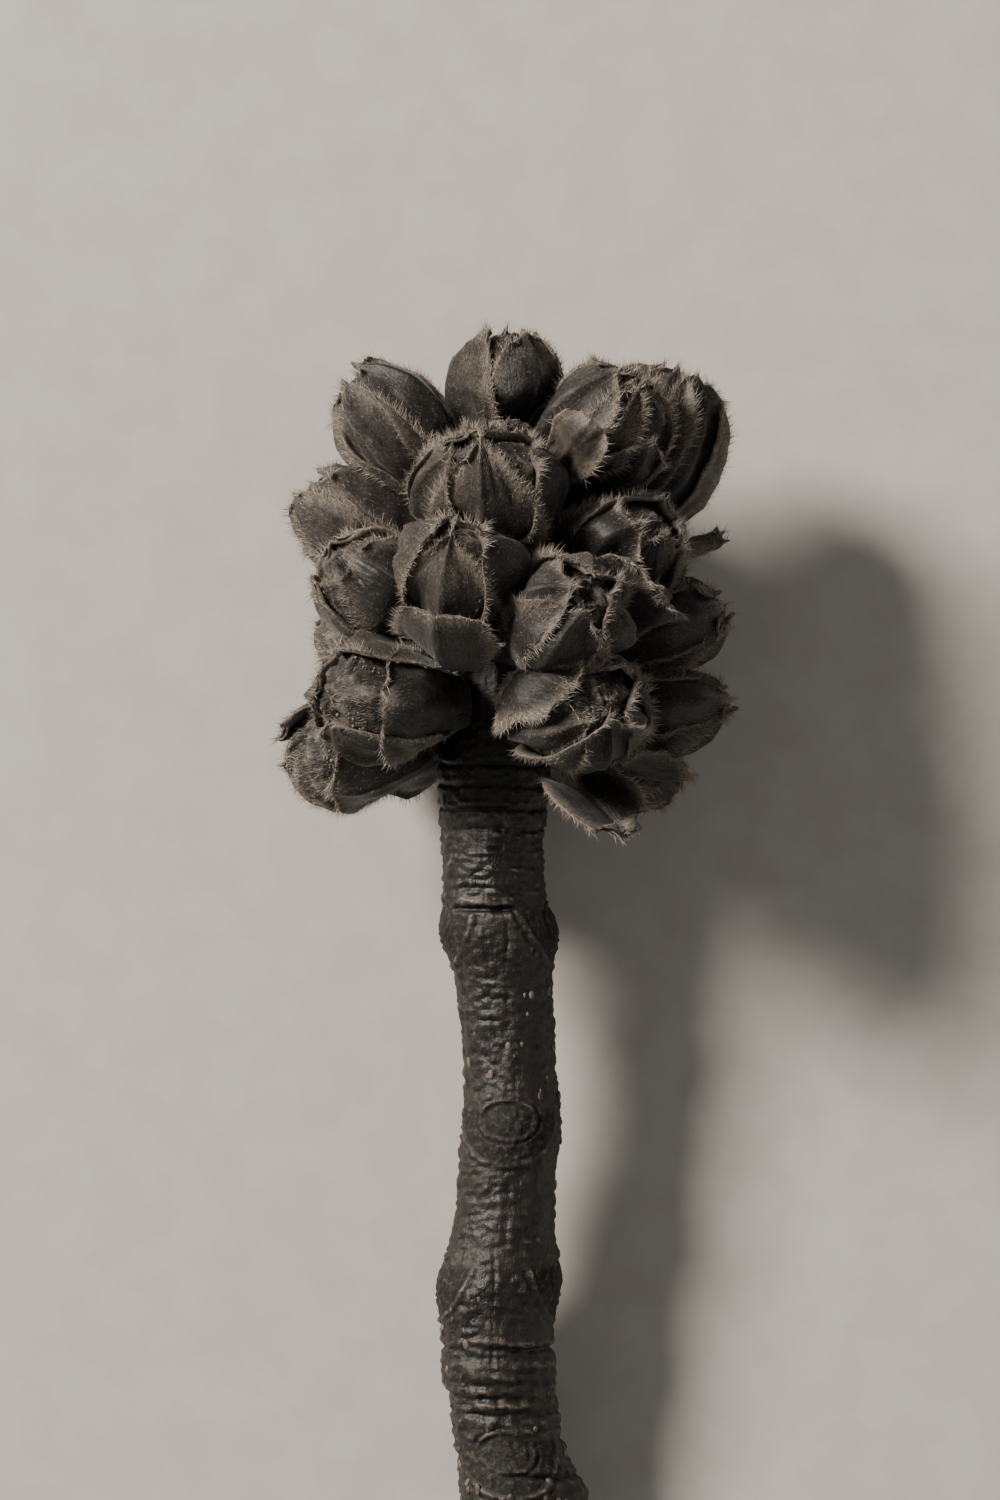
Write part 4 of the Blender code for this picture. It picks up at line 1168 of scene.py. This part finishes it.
# %% One loose scale
def loose_sheet(loose, seed):
    """One loose scale, laid on the outer side of its solid. v runs to its end, and c from side to side."""
    form = forms[loose.bud]
    v = np.linspace(0.0, 1.0, LOOSE_ROWS)[:, None]
    c = np.linspace(-1.0, 1.0, LOOSE_COLUMNS)[None, :]
    v, c = np.broadcast_arrays(v, c)
    narrowing = np.sqrt(np.maximum(0.0, 1.0 - v**3))
    outline = (0.6 + 0.4 * ease(v / 0.4)) * (loose.blunt + (1.0 - loose.blunt) * narrowing)
    torn = noise(np.stack([c * 3 + seed, v * 6, v * 0], axis=-1), 1.0, seed)
    half = loose.half_turn * np.maximum(outline, 0.06) * (1.0 + 0.08 * torn * np.abs(c))
    turns = np.radians(loose.side + half * c)[..., None]
    t = loose.start + (loose.end - loose.start) * v * (1.0 + 0.04 * torn * v**3 - 0.05 * c**2 * v**2)
    centre, up, aside, forward = form.axis(np.minimum(t, 1.0))
    past_tip = np.maximum(t - 1.0, 0.0)[..., None]
    centre = centre + forward * past_tip * np.linalg.norm(form.tip - form.seat)
    ways = up * np.cos(turns) + aside * np.sin(turns)
    shape = merged(loose.node)
    girth = ray_lengths(BVHTree.FromBMesh(shape), centre, ways, start_out=RAYS_FROM)
    shape.free()
    girth = relaxed(filled(girth), RELAX_ROUNDS)
    middle = centre + ways * girth[..., None]
    normals = unit(np.cross(np.gradient(middle, axis=1), np.gradient(middle, axis=0)))
    normals *= np.sign((normals * ways).sum(axis=-1, keepdims=True))
    length = np.linalg.norm(np.diff(middle[:, LOOSE_COLUMNS // 2], axis=0), axis=-1).sum()
    half_width = np.linalg.norm(middle[:, -1] - middle[:, 0], axis=-1)[:, None] / 2
    from_side = (1.0 - np.abs(c)) * half_width
    relief = 0.1 * bump(c, 0.12) - 0.1 * np.sin(np.pi * np.abs(c)) - loose.cup * c**2
    relief += 0.05 * noise(middle, 1.1, seed) + 0.03 * rough(middle, 0.4, seed + 1)
    folds = np.stack([c * half_width * 1.2, v * length * 0.35, np.full_like(v, seed)], axis=-1)
    relief += (0.03 + 0.09 * loose.dry) * noise(folds, 0.3, seed + 2)
    relief += 0.06 * bump(from_side, 0.16)
    thin = LOOSE_THICKNESS * (1.0 - 0.5 * bump(from_side, 0.25))
    outer = middle + normals * (relief - 0.06)[..., None]
    inner = middle + normals * (relief - 0.06 - thin)[..., None]
    values = scale_values(outer, normals, c, v, half_width, length, loose.felt, seed)
    values["woolly"] = values["woolly"] * (1.0 - 0.75 * loose.dry)  # the dead one has shed its hairs
    return closed_sheet(outer, inner, values)


loose_pieces = {}
for number, loose in enumerate(LOOSE_SCALES):
    finish = DRY_SCALE if loose.dry else BUD_SCALE
    name = loose.node.replace("scale_", "blade_")
    loose_pieces[loose.node] = write_mesh(name, loose_sheet(loose, 60 + number), [finish])
print("loose scales:", len(loose_pieces))

# %% [markdown]
# The hairs are what make these buds look soft: thousands of them stand along the margins and lie on the
# felted tips. Geometry Nodes scatters points over the scales, more where the stored "woolly" value is
# high, stands one thin tapered strand on each, and turns it along the stored "comb" with some spread. A
# strand is a three-sided cone. Real hairs are about 0.01 mm thick; these are twice that, so that they show.

# %% The hair tree
HAIR_SIDES = 3
SHORTEST, LONGEST = 0.45, 1.25  # shares of the stored hair length
FULL_TURN = 6.28
RANDOM = "FunctionNodeRandomValue"
NAMED = "GeometryNodeInputNamedAttribute"
VECTOR_MATH = "ShaderNodeVectorMath"
ALIGN = "FunctionNodeAlignRotationToVector"
NUMBERS = {"data_type": "FLOAT"}
VECTORS = {"data_type": "FLOAT_VECTOR"}
SCALED = {"operation": "SCALE"}


def new_tree(name, inputs):
    """An empty Geometry Nodes tree with named inputs, and the outputs of its input node."""
    tree = bpy.data.node_groups.new(name, "GeometryNodeTree")
    tree.interface.new_socket("Geometry", in_out="OUTPUT", socket_type="NodeSocketGeometry")
    for input_name, kind in inputs.items():
        tree.interface.new_socket(input_name, in_out="INPUT", socket_type="NodeSocket" + kind)
    return tree, tree.nodes.new("NodeGroupInput").outputs


def hair_tree():
    inputs = {
        "Scales": "Geometry",
        "Hairs per square metre": "Float",
        "Thickness share": "Float",
        "Spread": "Float",
        "Seed": "Int",
        "Material": "Material",
    }
    tree, given = new_tree("woolly_hairs", inputs)
    seeds = [add(tree, MATH, PLUS, _0=given["Seed"], _1=k) for k in (1.0, 2.0, 3.0)]
    woolly = add(tree, NAMED, NUMBERS, Name="woolly")
    density = add(tree, MATH, TIMES, _0=woolly, _1=given["Hairs per square metre"])
    scatter = "GeometryNodeDistributePointsOnFaces"
    points = add(tree, scatter, Mesh=given["Scales"], Density=density, Seed=given["Seed"])
    taper = {"Radius_Top": 0.0, "Radius_Bottom": given["Thickness share"], "Depth": 1.0}
    cone = add(tree, "GeometryNodeMeshCone", Vertices=HAIR_SIDES, **taper)
    any_way = add(tree, RANDOM, VECTORS, _0=(-1.0,) * 3, _1=(1.0,) * 3, Seed=seeds[0])
    wander = add(tree, VECTOR_MATH, SCALED, _0=any_way, Scale=given["Spread"])
    comb = add(tree, NAMED, VECTORS, Name="comb")
    way = add(tree, VECTOR_MATH, PLUS, _0=comb, _1=wander)
    turn = add(tree, ALIGN, {"axis": "Z"}, Vector=way)
    angle = add(tree, RANDOM, NUMBERS, _2=0.0, _3=FULL_TURN, Seed=seeds[1])
    spin = add(tree, "FunctionNodeAxisAngleToRotation", Axis=(0, 0, 1), Angle=angle)
    own_axes = {"rotation_space": "LOCAL"}
    turned = add(tree, "FunctionNodeRotateRotation", own_axes, Rotation=turn, Rotate_By=spin)
    share = add(tree, RANDOM, NUMBERS, _2=SHORTEST * MM, _3=LONGEST * MM, Seed=seeds[2])
    hair_length = add(tree, NAMED, NUMBERS, Name="hair_length")
    length = add(tree, MATH, TIMES, _0=hair_length, _1=share)
    stand = {"Points": points, "Instance": cone, "Rotation": turned, "Scale": length}
    hairs = add(tree, "GeometryNodeInstanceOnPoints", **stand)
    tone = add(tree, RANDOM, NUMBERS, _2=0.0, _3=1.0, Seed=seeds[0])
    on_each = {"data_type": "FLOAT", "domain": "INSTANCE"}
    toned = add(tree, "GeometryNodeStoreNamedAttribute", on_each, Geometry=hairs, Name="tone", _3=tone)
    real = add(tree, "GeometryNodeRealizeInstances", Geometry=toned)
    finished = add(tree, "GeometryNodeSetMaterial", Geometry=real, Material=given["Material"])
    add(tree, "NodeGroupOutput", Geometry=finished)
    return tree


# %% [markdown]
# A tree runs once, on its base object, and the plain mesh that it makes is kept as the piece.

# %% Growing a piece
def grown(tree, base, name, settings):
    """The plain mesh that a Geometry Nodes tree makes from a base object, as a new object."""
    modifier = base.modifiers.new(tree.name, "NODES")
    modifier.node_group = tree
    sockets = {item.name: item.identifier for item in tree.interface.items_tree if item.in_out == "INPUT"}
    for key, value in settings.items():
        modifier[sockets[key]] = value
    bpy.context.view_layer.update()
    evaluated = base.evaluated_get(bpy.context.evaluated_depsgraph_get())
    mesh = bpy.data.meshes.new_from_object(evaluated)
    base.modifiers.remove(modifier)
    mesh.name = name
    obj = bpy.data.objects.new(name, mesh)
    bpy.context.scene.collection.objects.link(obj)
    return obj


# %% [markdown]
# Winter bud hair is dead, dry and hollow, so it scatters light. Seen from afar it is a pale grey-brown haze,
# paler where single hairs catch the light. Each strand has its own tone, stored when it was made.

# %% Hair
HAIR_DULL = "#6a6157"
HAIR_LIT = "#cbc1b4"


def hair_material():
    material, tree, shader = new_material("winter_bud_hair", Roughness=0.55, Sheen_Weight=0.3)
    tone = add(tree, STORED, {"attribute_name": "tone"}).outputs["Fac"]
    shade = add(tree, MIX, COLOURS, _0=tone, _6=linear(HAIR_DULL), _7=linear(HAIR_LIT))
    feed(tree, shader, Base_Color=shade)
    return material


HAIR = hair_material()
HAIRS_PER_SQUARE_MM = 270.0
HAIR_THICKNESS = 0.028  # half a strand's thickness at its root, as a share of its length
HAIR_SPREAD = 0.5
FIRST_HAIR_SEED = 40
HAIR_TREE = hair_tree()
hair_pieces = {}
for number, (node, piece) in enumerate((bud_pieces | loose_pieces).items()):
    hair_pieces[node] = grown(
        HAIR_TREE,
        piece,
        "hairs_of_" + node.split("_", 1)[1],
        {
            "Hairs per square metre": HAIRS_PER_SQUARE_MM / MM**2,
            "Thickness share": HAIR_THICKNESS,
            "Spread": HAIR_SPREAD,
            "Seed": FIRST_HAIR_SEED + number,
            "Material": HAIR,
        },
    )
print("faces of all hairs:", sum(len(piece.data.polygons) for piece in hair_pieces.values()))

# %% [markdown]
# Two more things are small and many: lenticels, the pores that stand on smooth bark as matt ovals of paler
# cork, and the dull grey grains of clotted hair on the tips of the most woolly buds. One tree sets squashed
# balls on a surface where its "studs" value is high, upright on the surface and lying along the twig.

# %% Lenticels and grains
def stud_tree():
    inputs = {
        "Surface": "Geometry",
        "Studs per square metre": "Float",
        "Shape": "Vector",
        "Smallest share": "Float",
        "Seed": "Int",
        "Material": "Material",
    }
    tree, given = new_tree("studs_on_a_surface", inputs)
    studs = add(tree, NAMED, NUMBERS, Name="studs")
    density = add(tree, MATH, TIMES, _0=studs, _1=given["Studs per square metre"])
    scatter = "GeometryNodeDistributePointsOnFaces"
    points = add(tree, scatter, Mesh=given["Surface"], Density=density, Seed=given["Seed"])
    ball = add(tree, "GeometryNodeMeshIcoSphere", Radius=1.0, Subdivisions=2)
    smooth_ball = add(tree, "GeometryNodeSetShadeSmooth", Geometry=ball)
    upright = add(tree, ALIGN, {"axis": "Z"}, Vector=points.outputs["Normal"])
    about_z = {"axis": "Y", "pivot_axis": "Z"}
    lying = add(tree, ALIGN, about_z, Rotation=upright, Vector=tuple(ALONG))
    share = add(tree, RANDOM, NUMBERS, _2=given["Smallest share"], _3=1.0, Seed=given["Seed"])
    size = add(tree, VECTOR_MATH, SCALED, _0=given["Shape"], Scale=share)
    stand = {"Points": points, "Instance": smooth_ball, "Rotation": lying, "Scale": size}
    placed = add(tree, "GeometryNodeInstanceOnPoints", **stand)
    real = add(tree, "GeometryNodeRealizeInstances", Geometry=placed)
    finished = add(tree, "GeometryNodeSetMaterial", Geometry=real, Material=given["Material"])
    add(tree, "NodeGroupOutput", Geometry=finished)
    return tree


# %% [markdown]
# Cork and clotted hair are both rough little bodies, so one material does for both, in its own tones.

# %% Cork and clots
def grain_material(name, low, high, size_mm):
    """Rough little bodies: their tone wanders from one to the next."""
    material, tree, shader = new_material(name, Roughness=0.6)
    spot = add(tree, PLACE).outputs["Object"]
    tones = add(tree, NOISE, Vector=spot, Scale=PER_METRE / size_mm, Detail=3.0, Roughness=0.55)
    share = add(tree, RANGE, STEPPED, Value=tones, From_Min=0.35, From_Max=0.65)
    body = add(tree, MIX, COLOURS, _0=share, _6=linear(low), _7=linear(high))
    fine = add(tree, NOISE, Vector=spot, Scale=PER_METRE / 0.1, Detail=3.0, Roughness=0.55)
    uneven = add(tree, BUMP, Height=fine, Distance=0.03 * MM, Strength=1.0)
    feed(tree, shader, Base_Color=body, Normal=uneven)
    return material


LENTICEL_CORK = grain_material("pale_lenticel_cork", BARK_MIDDLE, BARK_LENTICEL, 0.5)
CLOTTED_HAIR = grain_material("clotted_bud_hair", SCALE_WORN, EDGE_GREY, 0.25)
STUD_TREE = stud_tree()
LENTICEL_SHAPE = (0.15 * MM, 0.23 * MM, 0.07 * MM)  # across, along the twig, and out
GRAIN_SHAPE = (0.06 * MM, 0.07 * MM, 0.05 * MM)
LENTICELS_PER_SQUARE_MM = 2.1
GRAINS_PER_SQUARE_MM = 34.0
CRUSTED = 0.7  # share of crust from which a bud carries grains
lenticel_piece = grown(
    STUD_TREE,
    twig_piece,
    "twig_lenticels",
    {
        "Studs per square metre": LENTICELS_PER_SQUARE_MM / MM**2,
        "Shape": LENTICEL_SHAPE,
        "Smallest share": 0.35,
        "Seed": 7,
        "Material": LENTICEL_CORK,
    },
)
grain_pieces = {}
for number, node in enumerate(bud_nodes):
    if look_of(node, number).crust >= CRUSTED:
        grain_pieces[node] = grown(
            STUD_TREE,
            bud_pieces[node],
            node.replace("bud_", "grains_of_"),
            {
                "Studs per square metre": GRAINS_PER_SQUARE_MM / MM**2,
                "Shape": GRAIN_SHAPE,
                "Smallest share": 0.4,
                "Seed": 70 + number,
                "Material": CLOTTED_HAIR,
            },
        )
print("faces of lenticels:", len(lenticel_piece.data.polygons))
print("faces of grains:", sum(len(piece.data.polygons) for piece in grain_pieces.values()))

# %% [markdown]
# The lowest scales and hairs would reach through the table that the cluster lies on. There they are
# pressed flat, as they would be.

# %% Pressed by the table
def press_on_table(obj):
    """Moves what is under the table top up to it, and says how deep that was in millimetres."""
    count = len(obj.data.vertices)
    points = np.empty(count * 3, np.float32)
    obj.data.vertices.foreach_get("co", points)
    heights = points.reshape(count, 3)[:, 2]
    depth = max(0.0, -heights.min() / MM)
    heights[:] = np.maximum(heights, 0.0)
    obj.data.vertices.foreach_set("co", points)
    obj.data.update()
    return depth


depths = [
    press_on_table(piece)
    for pieces in (bud_pieces, loose_pieces, hair_pieces, grain_pieces)
    for piece in pieces.values()
]
print("pressed flat by up to", round(float(max(depths)), 2), "mm")

# %% [markdown]
# Everything rides on the one body, since nothing in the cluster moves.

# %% Handing the pieces to the frame
finish_piece(twig_piece, "bark", "twig")
finish_piece(lenticel_piece, "bark")
for node, piece in bud_pieces.items():
    finish_piece(piece, "bud_scale", node)
    finish_piece(hair_pieces[node], "bud_hair")
for piece in grain_pieces.values():
    finish_piece(piece, "bud_hair")
for loose in LOOSE_SCALES:
    finish_piece(loose_pieces[loose.node], "dry_scale" if loose.dry else "bud_scale", loose.node)
    finish_piece(hair_pieces[loose.node], "bud_hair")
print("pieces:", 2 + len(bud_pieces) + len(loose_pieces) + len(hair_pieces) + len(grain_pieces))

# %% [markdown]
# The stage is a pale matt table top, soft light from the upper left and a weak all-round fill. The camera
# looks square down on the twig through a long lens, as one would photograph a small twig.

# %% Stage, light and camera
LENS = 216.0
SENSOR = 36.0
CAMERA_OUT = 300.0  # mm above the twig
NEAREST_SEEN = 0.01  # metres
LOOKED_AT = 0.33  # along the twig, in the middle of the picture
TABLE_HALF = 0.6  # metres
TABLE_DROP = 0.00003  # metres under the lowest point, so that the two never share a face
CARD_TONES = ("#c4c0ba", "#cbc8c3")
SKY = "#e9e6e1"
SKY_STRENGTH = 0.2


def card_material():
    """Uncoated card: even, pale and matt, with the faintest cloudiness."""
    material, tree, shader = new_material("matt_card", Roughness=0.9)
    spot = add(tree, PLACE).outputs["Object"]
    clouds = add(tree, NOISE, Vector=spot, Scale=PER_METRE / 2.0, Detail=3.0, Roughness=0.55)
    share = add(tree, RANGE, STEPPED, Value=clouds, From_Min=0.3, From_Max=0.7)
    card = add(tree, MIX, COLOURS, _0=share, _6=linear(CARD_TONES[0]), _7=linear(CARD_TONES[1]))
    feed(tree, shader, Base_Color=card)
    return material


def build_stage():
    mesh = bpy.data.meshes.new("table_top")
    sides = ((-1, -1), (1, -1), (1, 1), (-1, 1))
    corners = [(x * TABLE_HALF, y * TABLE_HALF, -TABLE_DROP) for x, y in sides]
    mesh.from_pydata(corners, [], [(0, 1, 2, 3)])
    mesh.materials.append(card_material())
    table = bpy.data.objects.new("table_top", mesh)
    bpy.context.scene.collection.objects.link(table)


def aim(obj, at, from_point, up):
    """Puts a light or camera at a point, looking at another, with its top towards up."""
    back = unit(from_point - at)
    side = unit(np.cross(up, back))
    columns = [(*side, 0.0), (*np.cross(back, side), 0.0), (*back, 0.0), (*from_point * MM, 1.0)]
    obj.matrix_world = Matrix(columns).transposed()


def add_light(name, right, along, out, size, power, colour):
    """A round light at a place in the twig's own directions, aimed at the foot of the cluster."""
    light = bpy.data.lights.new(name, "AREA")
    light.shape = "DISK"
    light.size = size
    light.energy = power
    light.color = linear(colour)[:3]
    obj = bpy.data.objects.new(name, light)
    bpy.context.scene.collection.objects.link(obj)
    target = place(np.array(0.0), np.array(0.0), np.array(0.0))
    aim(obj, target, place(np.array(right), np.array(along), np.array(out)), ALONG)


def build_camera():
    camera = bpy.data.cameras.new("camera")
    camera.lens = LENS
    camera.sensor_width = SENSOR
    camera.clip_start = NEAREST_SEEN
    obj = bpy.data.objects.new("camera", camera)
    bpy.context.scene.collection.objects.link(obj)
    target = place(np.array(0.0), np.array(LOOKED_AT), np.array(0.0))
    aim(obj, target, target + CAMERA_OUT * OUT, ALONG)
    bpy.context.scene.camera = obj


def build_world():
    world = bpy.data.worlds.new("soft_studio")
    world.use_nodes = True
    feed(world.node_tree, world.node_tree.nodes["Background"], Color=linear(SKY), Strength=SKY_STRENGTH)
    bpy.context.scene.world = world


build_stage()
build_world()
build_camera()
add_light("key_upper_left", -270.0, 200.0, 210.0, 0.13, 2.9, "#fff6ea")
add_light("fill_right", 300.0, -60.0, 200.0, 0.3, 0.12, "#fff4e8")
print("camera", CAMERA_OUT, "mm above the twig, lens", LENS, "mm")
